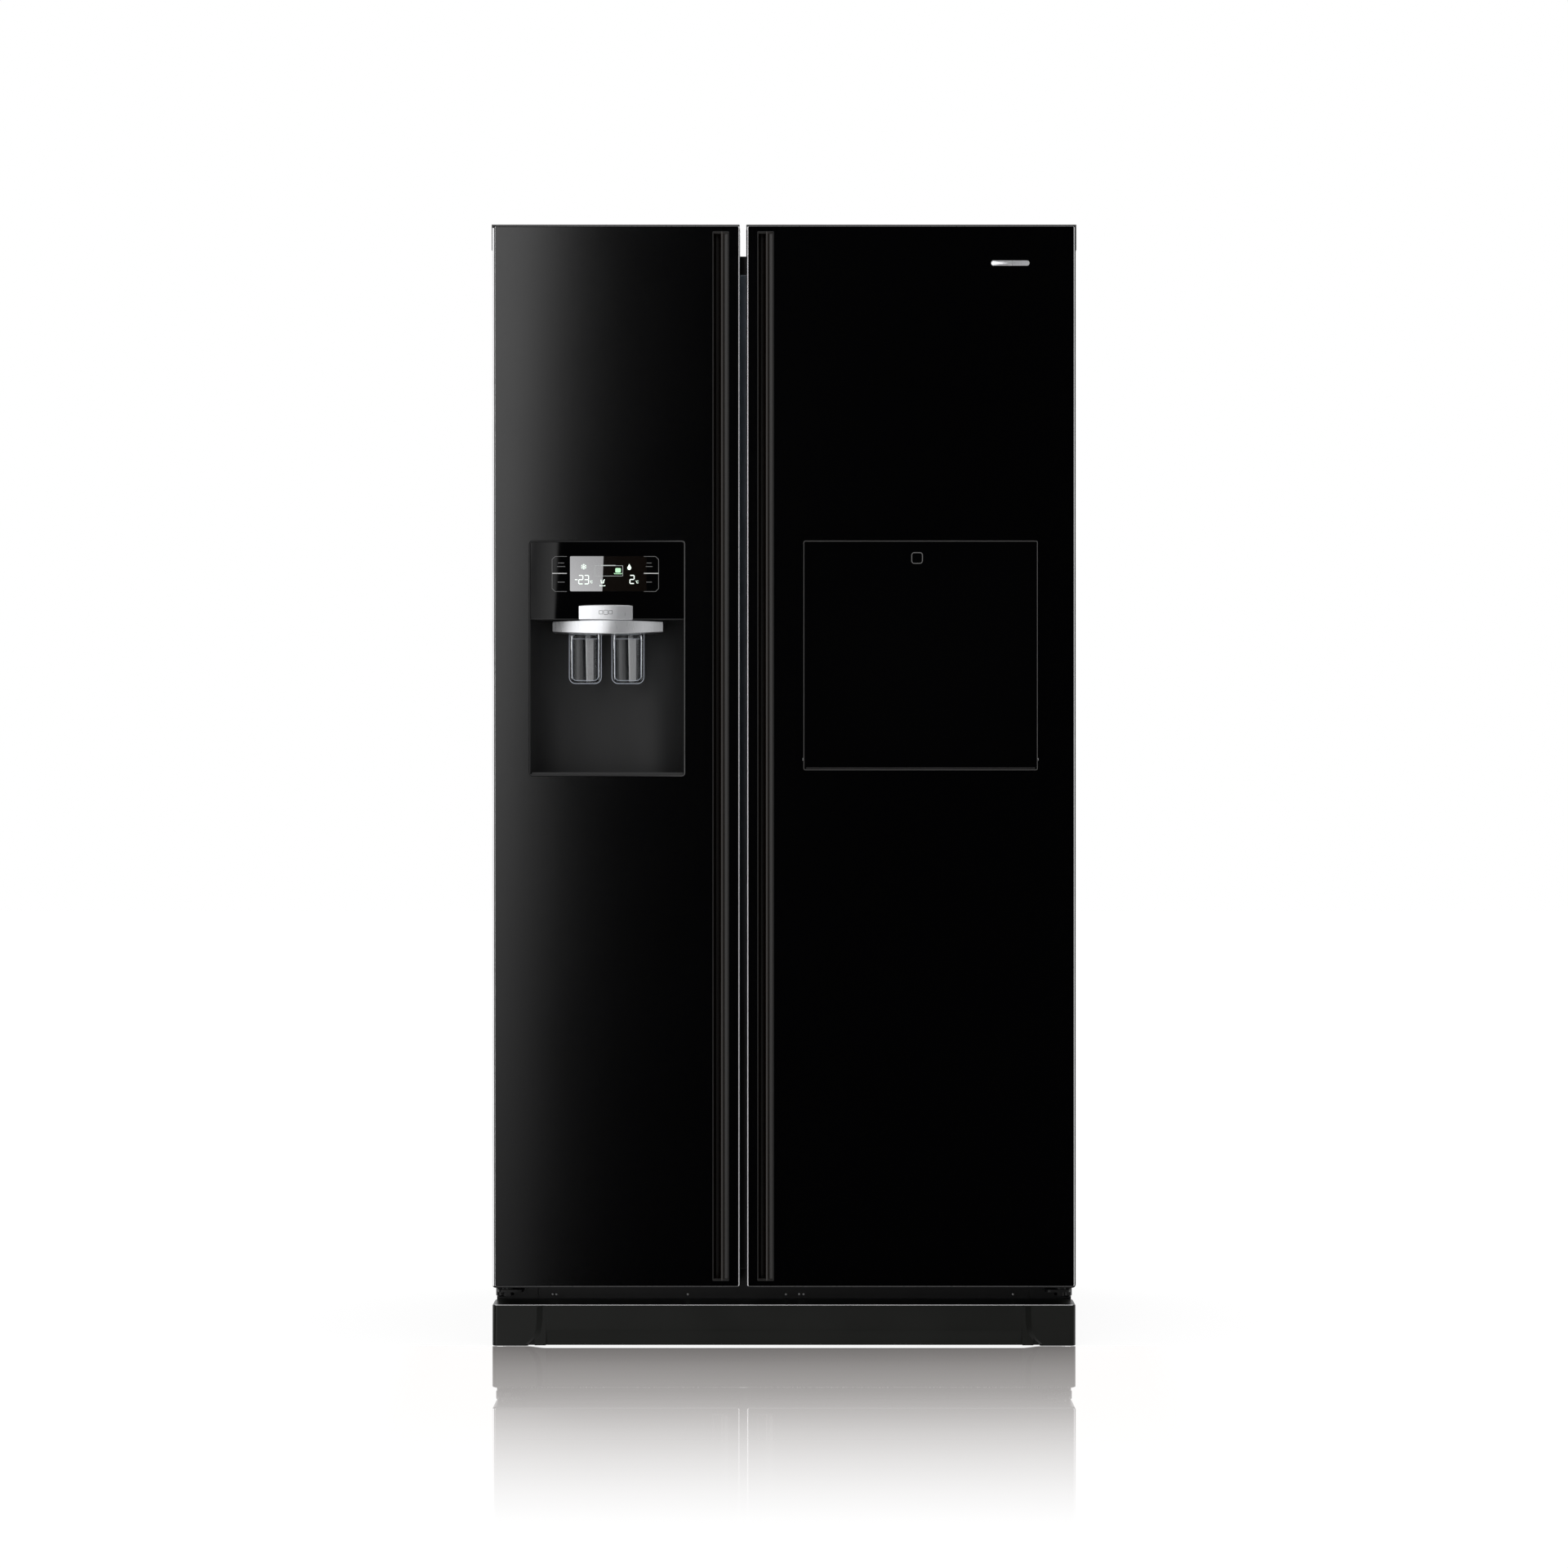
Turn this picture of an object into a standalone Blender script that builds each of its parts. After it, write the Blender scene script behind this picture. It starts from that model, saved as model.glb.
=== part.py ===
"""Side-by-side refrigerator with a door dispenser and a home bar. Metres, +Z up, front towards -Y.

The drawing below is in millimetres. x = 0 is the middle of the width, y = 0 the middle of the depth
and z = 0 the floor. Every sub-part is one closed body with its own material.
"""

import math

import bmesh
import bpy
from mathutils import Vector

MM = 0.001
GAP = 0.3                                  # clearance between pieces that touch
FAR = 60.0                                 # how far a cutter runs past the wall it opens

# Doors, front view
DOOR_BOTTOM, DOOR_TOP = 92.6, 1751.0
DOOR_CORNER = 5.0
RIM = 1.8                                  # dark rim around each glossy panel
CAP_PLATE = 3.0
CAP_BLOCK_W, CAP_BLOCK_BOTTOM = 36.0, 1711.3
CAP_PROUD = 1.0

# Doors, depth
PANEL_FRONT, PANEL_BACK = -365.0, -361.0
RIM_FRONT = -364.6
CORE_BACK = -291.3
DOOR_REAR = -289.0
LINER_FRONT = -291.0
DIKE_REAR = -234.0
DIKE_WALL = 14.0
BIN_REAR = -179.0
GASKET_REAR = -279.5

# Hinges
PIN_INSET, PIN_Y = 22.0, -324.0
PIN_R = 6.0
ARM_W, ARM_BOTTOM, ARM_TOP = 18.0, 1713.3, 1717.3
SLOT_FRONT, SLOT_IN, SLOT_TOP = -344.0, 12.0, 1722.0

# Handle channels, full height
HANDLE_W, HANDLE_BOTTOM, HANDLE_TOP, HANDLE_BACK = 24.8, 104.0, 1740.0, -339.0
HANDLE_END = 3.0
HANDLE_PROFILE = [
    (0, -339), (24.8, -339), (24.8, -365.2), (23.4, -365.4), (23.0, -363.0), (18.4, -362.6),
    (17.6, -364.4), (16.4, -365.9), (14.8, -366.4), (13.2, -365.9), (12.0, -364.2), (12.2, -361.5),
    (14.6, -357.0), (16.4, -351.0), (14.8, -345.2), (10.5, -342.2), (5.0, -342.8), (2.0, -347.0),
    (1.3, -353.0), (1.3, -365.3), (0, -365.3),
]

# Cabinet
CAB_X = 454.0
CAB_FRONT, CAB_BACK = -279.0, 353.8
CAB_BOTTOM, CAB_TOP = 30.0, 1713.0
SHEET = 1.2
FLANGE_BOTTOM = 52.0                       # lower edge of the front flange
WALL_BOTTOM, WALL_TOP = 130.0, 1663.0      # compartments, outside of the liners
LINER_BACK = 295.0
LINER_T = 2.0
FREEZER_X = (-409.0, -94.0)
FRIDGE_X = (-34.0, 409.0)
RIB_Z = (112.0, 1683.0)                    # raised rib of the mullion strip
STEP_Y, STEP_Z = 110.0, 372.0              # the liners step over the machine compartment
ROOM_Y, ROOM_TOP = 140.0, 345.0            # machine compartment
FOAM_BOTTOM = 60.0
COVER_BACK = 368.0

# Dispenser in the freezer door
DISP_X, DISP_Z = (-397.7, -154.4), (890.6, 1258.0)
DISP_FRONT, TUB_BACK, HEAD_BACK = -365.2, -259.0, -320.0
CAVITY_FLOOR, CAVITY_TOP, CAVITY_DEPTH = 893.6, 1135.0, 100.0
CANOPY_X, CANOPY_Z = (-362.0, -189.5), (1112.9, 1134.5)
CANOPY_FRONT, CANOPY_BACK, CANOPY_RADIUS = -367.0, -300.0, 190.0
BUTTON_X, BUTTON_Z = (-320.0, -236.0), (1134.8, 1157.5)
BUTTON_FRONT, BUTTON_BACK, BUTTON_RADIUS = -368.0, -357.0, 300.0
DISPLAY_X, DISPLAY_Z = (-334.0, -214.0), (1179.0, 1234.0)
LEVER_W, LEVER_BOTTOM, LEVER_WALL = 51.2, 1035.6, 2.4
LEVER_Y, LEVER_Z, LEVER_HUB = -318.0, 1120.0, 4.0
ICE_LEVER_X, WATER_LEVER_X = -311.9, -245.0

# Home bar in the fridge door
BAR_X, BAR_Z = (30.3, 395.8), (900.0, 1258.0)
BAR_CLEARANCE = 1.5
BAR_PIN_Y, BAR_PIN_Z, BAR_PIN_R = -358.0, 917.0, 2.2
BAR_PIVOT = (0.5 * (BAR_X[0] + BAR_X[1]), BAR_PIN_Y, BAR_PIN_Z)
BAR_REAR, BAR_LEDGE = -320.0, -312.0
BAR_BORDER = 25.0                          # ledge between the opening and the passage behind it

# Base
KICK_X, KICK_TOP, KICK_BOTTOM = 456.0, 64.3, 0.6
KICK_FRONT, KICK_RECESS = -355.0, -349.0
RAIL_X = (404.0, 444.0)
RAIL_BOTTOM, RAIL_TOP = 14.0, 59.7
WHEEL_R, WHEEL_W, AXLE_R = 20.0, 16.0, 3.0
WHEEL_Y = {"front": -215.0, "rear": 310.0}
FOOT_X, FOOT_Y, FOOT_R = 424.0, -258.0, 17.0
PAN_Z = (40.0, 42.0)
FAN_X, FAN_Y, FAN_Z, FAN_R = -10.0, 250.0, 135.0, 60.0
VALVE_X, VALVE_Z = 384.0, 100.0


class Door:
    """The numbers that differ between the two doors; side is -1 with the hinge at the left."""

    def __init__(self, name, left, right, side, handle_left, dike_free, bin_free, gasket_free):
        self.name = name
        self.left, self.right = left, right
        self.side = side
        self.outer = left if side < 0 else right
        self.pin_x = self.outer - side * PIN_INSET
        self.handle_left = handle_left
        self.dike = ordered(self.outer - side * 51.0, dike_free)
        self.bin = ordered(self.outer - side * 65.5, bin_free)
        self.gasket = ordered(self.outer - side * 24.0, gasket_free)


def ordered(a, b):
    return (min(a, b), max(a, b))


# ---------------------------------------------------------------- shape helpers

def point(axis, a, b, height):
    """World point in metres from two in-plane coordinates and the height along axis."""
    order = {"X": (height, a, b), "Y": (a, height, b), "Z": (a, b, height)}
    return Vector(order[axis]) * MM


def new_body(name, verts, faces):
    """Object from raw geometry, with all faces turned outwards."""
    mesh = bpy.data.meshes.new(name)
    bm = bmesh.new()
    made = [bm.verts.new(v) for v in verts]
    for face in faces:
        bm.faces.new([made[i] for i in face])
    bmesh.ops.recalc_face_normals(bm, faces=bm.faces)
    bm.to_mesh(mesh)
    bm.free()
    body = bpy.data.objects.new(name, mesh)
    bpy.context.scene.collection.objects.link(body)
    return body


def loft(axis, outlines, heights):
    """Closed body through outlines of equal point count, each placed at its height along axis."""
    count = len(outlines[0])
    verts = [point(axis, a, b, h) for outline, h in zip(outlines, heights) for a, b in outline]
    faces = [tuple(range(count))]
    for ring in range(len(outlines) - 1):
        base = ring * count
        for i in range(count):
            j = (i + 1) % count
            faces.append((base + i, base + j, base + count + j, base + count + i))
    faces.append(tuple(range((len(outlines) - 1) * count, len(outlines) * count)))
    return new_body("shape", verts, faces)


def prism(axis, outline, low, high):
    return loft(axis, [outline, outline], [low, high])


def box(x, y, z):
    return prism("Z", [(x[0], y[0]), (x[1], y[0]), (x[1], y[1]), (x[0], y[1])], z[0], z[1])


def rounded_outline(a, b, radius, inset=0.0, steps=3):
    """Rectangle a by b with rounded corners, shrunk all round by inset."""
    radius = max(radius - inset, 0.4)
    lo_a, hi_a, lo_b, hi_b = a[0] + inset, a[1] - inset, b[0] + inset, b[1] - inset
    centres = [(hi_a - radius, hi_b - radius, 0), (lo_a + radius, hi_b - radius, 90),
               (lo_a + radius, lo_b + radius, 180), (hi_a - radius, lo_b + radius, 270)]
    outline = []
    for ca, cb, start in centres:
        for k in range(steps + 1):
            turn = math.radians(start + 90.0 * k / steps)
            outline.append((ca + radius * math.cos(turn), cb + radius * math.sin(turn)))
    return outline


def block(axis, a, b, radius, stations, steps=3):
    """Rounded block: stations are (height along axis, inset of the outline there)."""
    outlines = [rounded_outline(a, b, radius, inset, steps) for _, inset in stations]
    return loft(axis, outlines, [height for height, _ in stations])


def cylinder(axis, a, b, radius, low, high, sides=24):
    turns = [2.0 * math.pi * k / sides for k in range(sides)]
    outline = [(a + radius * math.cos(t), b + radius * math.sin(t)) for t in turns]
    return prism(axis, outline, low, high)


def revolve(axis, a, b, profile, sides=24):
    """Turned body: profile is (radius, height) pairs that start and end on the axis."""
    turns = [2.0 * math.pi * k / sides for k in range(sides)]
    verts = [point(axis, a, b, profile[0][1])]
    for radius, height in profile[1:-1]:
        verts += [point(axis, a + radius * math.cos(t), b + radius * math.sin(t), height) for t in turns]
    verts.append(point(axis, a, b, profile[-1][1]))
    last = len(verts) - 1
    rings = len(profile) - 2
    faces = []
    for i in range(sides):
        j = (i + 1) % sides
        faces.append((0, 1 + i, 1 + j))
        for ring in range(rings - 1):
            base = 1 + ring * sides
            faces.append((base + i, base + j, base + sides + j, base + sides + i))
        faces.append((last, last - sides + i, last - sides + j))
    return new_body("shape", verts, faces)


def tube(path, radius, sides=8):
    """Round tube along a path of millimetre points, with flat ends."""
    points = [Vector(p) for p in path]
    verts, faces = [], []
    side = Vector((0.0, 0.0, 1.0))
    for i, here in enumerate(points):
        ahead = points[min(i + 1, len(points) - 1)] - points[max(i - 1, 0)]
        ahead.normalize()
        side = (side - ahead * side.dot(ahead)).normalized()
        other = ahead.cross(side)
        for k in range(sides):
            turn = 2.0 * math.pi * k / sides
            verts.append((here + (side * math.cos(turn) + other * math.sin(turn)) * radius) * MM)
    for i in range(len(points) - 1):
        for k in range(sides):
            j = (k + 1) % sides
            faces.append((i * sides + k, i * sides + j, (i + 1) * sides + j, (i + 1) * sides + k))
    faces.append(tuple(range(sides)))
    faces.append(tuple(range((len(points) - 1) * sides, len(points) * sides)))
    return new_body("shape", verts, faces)


def combine(body, others, operation):
    """Applies exact booleans to body and removes the shapes that were used."""
    for other in others:
        step = body.modifiers.new("Boolean", "BOOLEAN")
        step.operation = operation
        step.solver = "EXACT"
        step.object = other
    depsgraph = bpy.context.evaluated_depsgraph_get()
    mesh = bpy.data.meshes.new_from_object(body.evaluated_get(depsgraph))
    old = body.data
    body.modifiers.clear()
    body.data = mesh
    bpy.data.meshes.remove(old)
    for other in others:
        used = other.data
        bpy.data.objects.remove(other, do_unlink=True)
        bpy.data.meshes.remove(used)
    return body


def join(body, *others):
    return combine(body, others, "UNION")


def cut(body, *others):
    return combine(body, others, "DIFFERENCE")


def finish(body, name, material, origin=(0.0, 0.0, 0.0), parent=None, smooth=False):
    """Names a body, gives it its material and moves its origin to a millimetre point."""
    body.name = name
    body.data.name = name
    shift = Vector(origin) * MM
    for vertex in body.data.vertices:
        vertex.co -= shift
    body.location = shift
    if parent is not None:
        body.parent = parent
        body.location = shift - parent.matrix_world.translation
    bpy.context.view_layer.update()
    body.data.materials.clear()
    body.data.materials.append(material)
    for face in body.data.polygons:
        face.material_index = 0
        face.use_smooth = smooth
    if smooth:
        body.data.set_sharp_from_angle(angle=math.radians(35.0))
    return body


def surface(name, colour, roughness, metallic=0.0, transmission=0.0):
    """Principled material of one sub-part."""
    material = bpy.data.materials.new(name)
    material.use_nodes = True
    shader = material.node_tree.nodes["Principled BSDF"]
    shader.inputs["Base Color"].default_value = (*colour, 1.0)
    shader.inputs["Roughness"].default_value = roughness
    shader.inputs["Metallic"].default_value = metallic
    shader.inputs["Transmission Weight"].default_value = transmission
    return material


def steel_skin(name):
    return surface(name, (0.012, 0.012, 0.013), 0.42)


def bare_steel(name):
    return surface(name, (0.42, 0.43, 0.44), 0.38, metallic=1.0)


def white_plastic(name):
    return surface(name, (0.78, 0.79, 0.80), 0.35)


def black_plastic(name):
    return surface(name, (0.015, 0.015, 0.014), 0.38)


def gloss_black(name):
    return surface(name, (0.002, 0.002, 0.002), 0.04)


def clear_plastic(name):
    return surface(name, (0.86, 0.92, 0.96), 0.05, transmission=0.9)


def satin_silver(name):
    return surface(name, (0.62, 0.64, 0.66), 0.28, metallic=1.0)


def rubber(name):
    return surface(name, (0.05, 0.05, 0.055), 0.7)


def foam(name):
    return surface(name, (0.62, 0.52, 0.26), 0.9)


# ---------------------------------------------------------------- cabinet

def compartment_outline(inset, front):
    """Side view of a compartment, stepped over the machine compartment."""
    low, high = WALL_BOTTOM + inset, WALL_TOP - inset
    step_z = STEP_Z + inset
    return [(front, low), (STEP_Y - inset, low), (STEP_Y - inset, step_z),
            (LINER_BACK - inset, step_z), (LINER_BACK - inset, high), (front, high)]


def build_shell():
    """Painted steel wrapper: two sides, top and the flange that the gaskets close on."""
    inner = CAB_X - SHEET
    shell = box((-CAB_X, CAB_X), (CAB_FRONT, CAB_BACK), (CAB_BOTTOM, CAB_TOP))
    hollow = box((-inner, inner), (CAB_FRONT + SHEET, CAB_BACK + FAR), (CAB_BOTTOM - FAR, CAB_TOP - SHEET))
    window = box((FREEZER_X[0] - GAP, FRIDGE_X[1] + GAP), (CAB_FRONT - FAR, CAB_FRONT + FAR),
                 (WALL_BOTTOM - GAP, WALL_TOP + GAP))
    under = box((-inner, inner), (CAB_FRONT - FAR, CAB_FRONT + FAR), (CAB_BOTTOM - FAR, FLANGE_BOTTOM))
    cut(shell, hollow, window, under)
    return finish(shell, "cabinet_shell", steel_skin("cabinet_shell_paint"))


def build_foam():
    """Insulation between the wrapper and the two liners."""
    inset = SHEET + GAP
    body = box((-CAB_X + inset, CAB_X - inset), (CAB_FRONT + inset, CAB_BACK - GAP),
               (FOAM_BOTTOM, CAB_TOP - inset))
    outline = compartment_outline(-GAP, CAB_FRONT - FAR)
    pockets = [prism("X", outline, x[0] - GAP, x[1] + GAP) for x in (FREEZER_X, FRIDGE_X)]
    room = box((-CAB_X - FAR, CAB_X + FAR), (ROOM_Y, CAB_BACK + FAR), (FOAM_BOTTOM - FAR, ROOM_TOP))
    cut(body, room, *pockets)
    return finish(body, "insulation_foam", foam("insulation_foam_mat"))


def build_liner(name, x, rib_heights):
    """Moulded liner of one compartment, with shelf ribs and a raised air duct on its back wall."""
    liner = prism("X", compartment_outline(0.0, CAB_FRONT), x[0], x[1])
    inside = prism("X", compartment_outline(LINER_T, CAB_FRONT - FAR), x[0] + LINER_T, x[1] - LINER_T)
    cut(liner, inside)
    rib_depth, rib_height, rib_y = 9.0, 6.0, (-150.0, 286.0)
    ribs = []
    for z in rib_heights:
        ribs.append(box((x[0] + 1.0, x[0] + rib_depth), rib_y, (z - rib_height, z)))
        ribs.append(box((x[1] - rib_depth, x[1] - 1.0), rib_y, (z - rib_height, z)))
    middle = 0.5 * (x[0] + x[1])
    duct = block("Y", (middle - 60.0, middle + 60.0), (430.0, 1600.0), 12.0,
                 [(LINER_BACK - 8.0, 4.0), (LINER_BACK - 1.0, 0.0)])
    join(liner, duct, *ribs)
    return finish(liner, name, white_plastic(name + "_mat"))


def build_mullion():
    """Steel strip over the wall between the compartments, with the raised rib seen between the doors."""
    x = (FREEZER_X[1] + GAP, FRIDGE_X[0] - GAP)
    z = (WALL_BOTTOM + GAP, WALL_TOP - GAP)
    strip = block("Y", x, z, 0.8, [(CAB_FRONT, 0.8), (CAB_FRONT + 0.6, 0.0), (CAB_FRONT + SHEET, 0.0)], 1)
    middle = 0.5 * (FREEZER_X[1] + FRIDGE_X[0])
    rib = block("Y", (middle - 8.0, middle + 8.0), RIB_Z, 1.0,
                [(CAB_FRONT - 4.0, 1.2), (CAB_FRONT - 2.8, 0.0), (CAB_FRONT - GAP, 0.0)], 2)
    foot = box((middle - 7.0, middle + 7.0), (CAB_FRONT - 2.0, CAB_FRONT + 0.5), (z[0] + 2.0, z[1] - 2.0))
    join(strip, rib, foot)
    return finish(strip, "centre_mullion", surface("centre_mullion_mat", (0.045, 0.055, 0.066), 0.35))


def build_back_panel():
    """Rear sheet with two pressed fields."""
    x = CAB_X - 1.6
    front, back = CAB_BACK + GAP, CAB_BACK + 1.5
    sheet = box((-x, x), (front, back), (ROOM_TOP - 1.0, CAB_TOP - GAP))
    fields = []
    for left, right in ((-400.0, -30.0), (30.0, 400.0)):
        fields.append(block("Y", (left, right), (420.0, 1640.0), 30.0,
                            [(front + 0.4, 0.0), (back + 2.5, 5.0)]))
    join(sheet, *fields)
    return finish(sheet, "back_panel", surface("back_panel_mat", (0.46, 0.47, 0.48), 0.45, metallic=0.8))


# ---------------------------------------------------------------- base and machine compartment

def build_base_frame():
    """Folded steel frame: two rails for the wheels, a front bar and the compressor deck."""
    wall = 2.2
    cross = (-RAIL_X[0] - 1.0, RAIL_X[0] + 1.0)
    frame = box(cross, (ROOM_Y + 12.0, 348.0), PAN_Z)
    parts = [box(cross, (-274.0, -240.0), (RAIL_TOP - wall, RAIL_TOP)),
             box(cross, (-274.0, -274.0 + wall), (30.0, RAIL_TOP))]
    cuts = []
    for side in (-1, 1):
        rail = ordered(side * RAIL_X[0], side * RAIL_X[1])
        parts.append(box(rail, (-274.0, 348.0), (RAIL_BOTTOM, RAIL_TOP)))
        cuts.append(box((rail[0] + wall, rail[1] - wall), (-274.0 + wall, 348.0 - wall),
                        (RAIL_BOTTOM - FAR, RAIL_TOP - wall)))
        for y in WHEEL_Y.values():
            cuts.append(cylinder("X", y, WHEEL_R, AXLE_R + GAP, rail[0] - 5.0, rail[1] + 5.0, 16))
    join(frame, *parts)
    cut(frame, *cuts)
    bosses, threads = [], []
    for side in (-1, 1):
        bosses.append(cylinder("Z", side * FOOT_X, FOOT_Y, 9.0, 36.0, RAIL_TOP - 1.0, 20))
        threads.append(cylinder("Z", side * FOOT_X, FOOT_Y, 5.3, 30.0, 56.5, 20))
    join(frame, *bosses)
    cut(frame, *threads)
    return finish(frame, "base_frame", bare_steel("base_frame_mat"))


def build_wheel(name, side, y):
    """Transport roller with its axle stubs."""
    centre = side * 0.5 * (RAIL_X[0] + RAIL_X[1])
    half, reach = 0.5 * WHEEL_W, 0.5 * (RAIL_X[1] - RAIL_X[0]) + 2.0
    profile = [(0, -reach), (AXLE_R, -reach), (AXLE_R, -half), (WHEEL_R - 1.5, -half), (WHEEL_R, -half + 1.5),
               (WHEEL_R, half - 1.5), (WHEEL_R - 1.5, half), (AXLE_R, half), (AXLE_R, reach), (0, reach)]
    wheel = revolve("X", y, WHEEL_R, [(r, centre + h) for r, h in profile], 24)
    return finish(wheel, name, black_plastic(name + "_mat"), (centre, y, WHEEL_R), smooth=True)


def build_foot(name, side):
    """Levelling foot: disc and screw."""
    profile = [(0, 0), (FOOT_R - 1.0, 0), (FOOT_R, 1.5), (FOOT_R, 6.0), (9.0, 9.0), (9.0, 15.0), (5.0, 16.0),
               (5.0, 54.0), (0, 54.0)]
    foot = revolve("Z", side * FOOT_X, FOOT_Y, profile, 28)
    return finish(foot, name, black_plastic(name + "_mat"), (side * FOOT_X, FOOT_Y, 0.0), smooth=True)


def build_compressor():
    """Domed hermetic compressor on its foot plate and pads."""
    x, y, pan = 250.0, 250.0, PAN_Z[1] + GAP
    shell = [(0, pan + 6), (52, pan + 6), (70, pan + 14), (78, pan + 30), (79, pan + 95),
             (84, pan + 97), (84, pan + 101), (79, pan + 103), (77, pan + 140), (68, pan + 163),
             (48, pan + 178), (22, pan + 185), (0, pan + 186)]
    body = revolve("Z", x, y, shell, 28)
    plate = block("Z", (x - 112, x + 112), (y - 76, y + 76), 12.0, [(pan + 4, 0.0), (pan + 8, 0.0)])
    pads = [cylinder("Z", x + i * 96, y + j * 60, 9.0, pan, pan + 12.0, 12) for i in (-1, 1) for j in (-1, 1)]
    terminal = block("X", (y - 24, y + 24), (pan + 48, pan + 104), 6.0,
                     [(x - 106, 2.0), (x - 102, 0.0), (x - 70, 0.0)])
    stub = tube([(x + 40, y + 20, pan + 150), (x + 40, y + 20, pan + 205), (x + 46, y + 20, pan + 214),
                 (x + 60, y + 20, pan + 218)], 4.5, 10)
    join(body, plate, terminal, stub, *pads)
    return finish(body, "compressor", surface("compressor_mat", (0.01, 0.01, 0.011), 0.3), smooth=True)


def build_condenser():
    """Serpentine of steel tube that stands on the deck."""
    x, y, layers = (-385.0, -70.0), (172.0, 328.0), 3
    pitch, rise, radius = 26.0, 26.0, 4.0
    passes = int((y[1] - y[0]) / pitch) + 1
    path = []
    height = PAN_Z[1] + radius + 0.6
    for layer in range(layers):
        order = range(passes) if layer % 2 == 0 else range(passes - 1, -1, -1)
        for step, row in enumerate(order):
            along = x if (layer * passes + step) % 2 == 0 else (x[1], x[0])
            bend = 9.0 if along[1] > along[0] else -9.0
            level, line = height + layer * rise, y[0] + row * pitch
            path += [(along[0] + bend * 0.3, line, level), (along[0] + bend, line, level),
                     (along[1] - bend, line, level), (along[1] - bend * 0.3, line, level)]
    coil = tube(path, radius, 6)
    return finish(coil, "condenser_coil", surface("condenser_coil_mat", (0.02, 0.02, 0.021), 0.35),
                  smooth=True)


def build_fan_motor():
    """Fan bracket: plate with a round opening, two spokes and the motor."""
    x = (FAN_X - 10.0, FAN_X - 7.0)
    plate = block("X", (FAN_Y - 80, FAN_Y + 80), (PAN_Z[1] + GAP, FAN_Z + 84), 6.0,
                  [(x[0], 0.0), (x[1], 0.0)])
    cut(plate, cylinder("X", FAN_Y, FAN_Z, FAN_R + 4.0, x[0] - 5, x[1] + 5, 40))
    spokes = [box(x, (FAN_Y - 75, FAN_Y + 75), (FAN_Z - 6, FAN_Z + 6)),
              box(x, (FAN_Y - 6, FAN_Y + 6), (FAN_Z - 75, FAN_Z + 75)),
              cylinder("X", FAN_Y, FAN_Z, 20.0, FAN_X - 42, x[1] + 1.0, 24)]
    join(plate, *spokes)
    cut(plate, cylinder("X", FAN_Y, FAN_Z, 3.3, FAN_X - 22, FAN_X + 5, 16))
    return finish(plate, "fan_motor", black_plastic("fan_motor_mat"), smooth=True)


def build_fan():
    """Five-bladed condenser fan with its shaft."""
    profile = [(0, FAN_X - 20), (3, FAN_X - 20), (3, FAN_X - 4), (15, FAN_X - 4),
               (16, FAN_X - 2), (16, FAN_X + 16), (12, FAN_X + 20), (0, FAN_X + 20)]
    hub = revolve("X", FAN_Y, FAN_Z, profile, 20)
    blades = []
    count, thick = 5, 1.2
    for n in range(count):
        corners = []
        for radius, sweep, pitch in ((12.0, 24.0, 8.0), (FAN_R, 22.0, 8.5)):
            for sign in (-1, 1):
                turn = 2 * math.pi * n / count + math.radians(sweep) * sign
                y, z = FAN_Y + radius * math.cos(turn), FAN_Z + radius * math.sin(turn)
                corners.append((FAN_X + 7.0 + sign * pitch, y, z))
        a, b, c, d = corners
        ring = [a, b, d, c]
        verts = [Vector((p[0] + t, p[1], p[2])) * MM for t in (-thick, thick) for p in ring]
        faces = [(0, 1, 2, 3), (4, 5, 6, 7)] + [(i, (i + 1) % 4, 4 + (i + 1) % 4, 4 + i) for i in range(4)]
        blades.append(new_body("blade", verts, faces))
    join(hub, *blades)
    return finish(hub, "condenser_fan", white_plastic("condenser_fan_mat"), (FAN_X, FAN_Y, FAN_Z))


def build_machine_cover():
    """Louvred rear cover of the machine compartment."""
    x, z, skin = CAB_X - 5.0, (44.0, ROOM_TOP - 2.0), 2.4
    front = CAB_BACK + GAP
    cover = block("Y", (-x, x), z, 8.0, [(front, 0.0), (COVER_BACK - 8.0, 0.0), (COVER_BACK, 8.0)])
    hollow = block("Y", (-x + 12, x - 12), (z[0] + 12, z[1] - 12), 6.0,
                   [(front - FAR, 0.0), (COVER_BACK - 8.0 - skin, 0.0), (COVER_BACK - skin, 4.0)])
    slots = []
    for centre in (-280.0, -95.0, 90.0, 275.0):
        for row in range(9):
            level = 80.0 + row * 26.0
            slots.append(box((centre - 75, centre + 75), (front - 5, COVER_BACK + 5), (level, level + 8.0)))
    inlet = cylinder("Y", VALVE_X, VALVE_Z, 12.0, front - 5, COVER_BACK + 5, 20)
    cut(cover, hollow, inlet, *slots)
    return finish(cover, "machine_room_cover", black_plastic("machine_room_cover_mat"))


def build_water_valve():
    """Inlet valve whose threaded nose comes out through the rear cover."""
    x, z = VALVE_X, VALVE_Z
    nose = cylinder("Y", x, z, 10.0, 336.0, COVER_BACK - 1.0, 20)
    collar = cylinder("Y", x, z, 11.4, 330.0, 345.0, 20)
    body = block("Y", (x - 16, x + 16), (z - 22, z + 22), 4.0, [(296, 1.0), (298, 0.0), (338, 0.0)])
    coil = cylinder("Z", x, 312.0, 14.0, z + 15.0, z + 58.0, 20)
    base = box((x - 14, x + 14), (300, 330), (PAN_Z[1] + GAP, z - 10.0))
    join(body, nose, collar, coil, base)
    return finish(body, "water_inlet_valve", surface("water_inlet_valve_mat", (0.06, 0.14, 0.42), 0.4))


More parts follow.
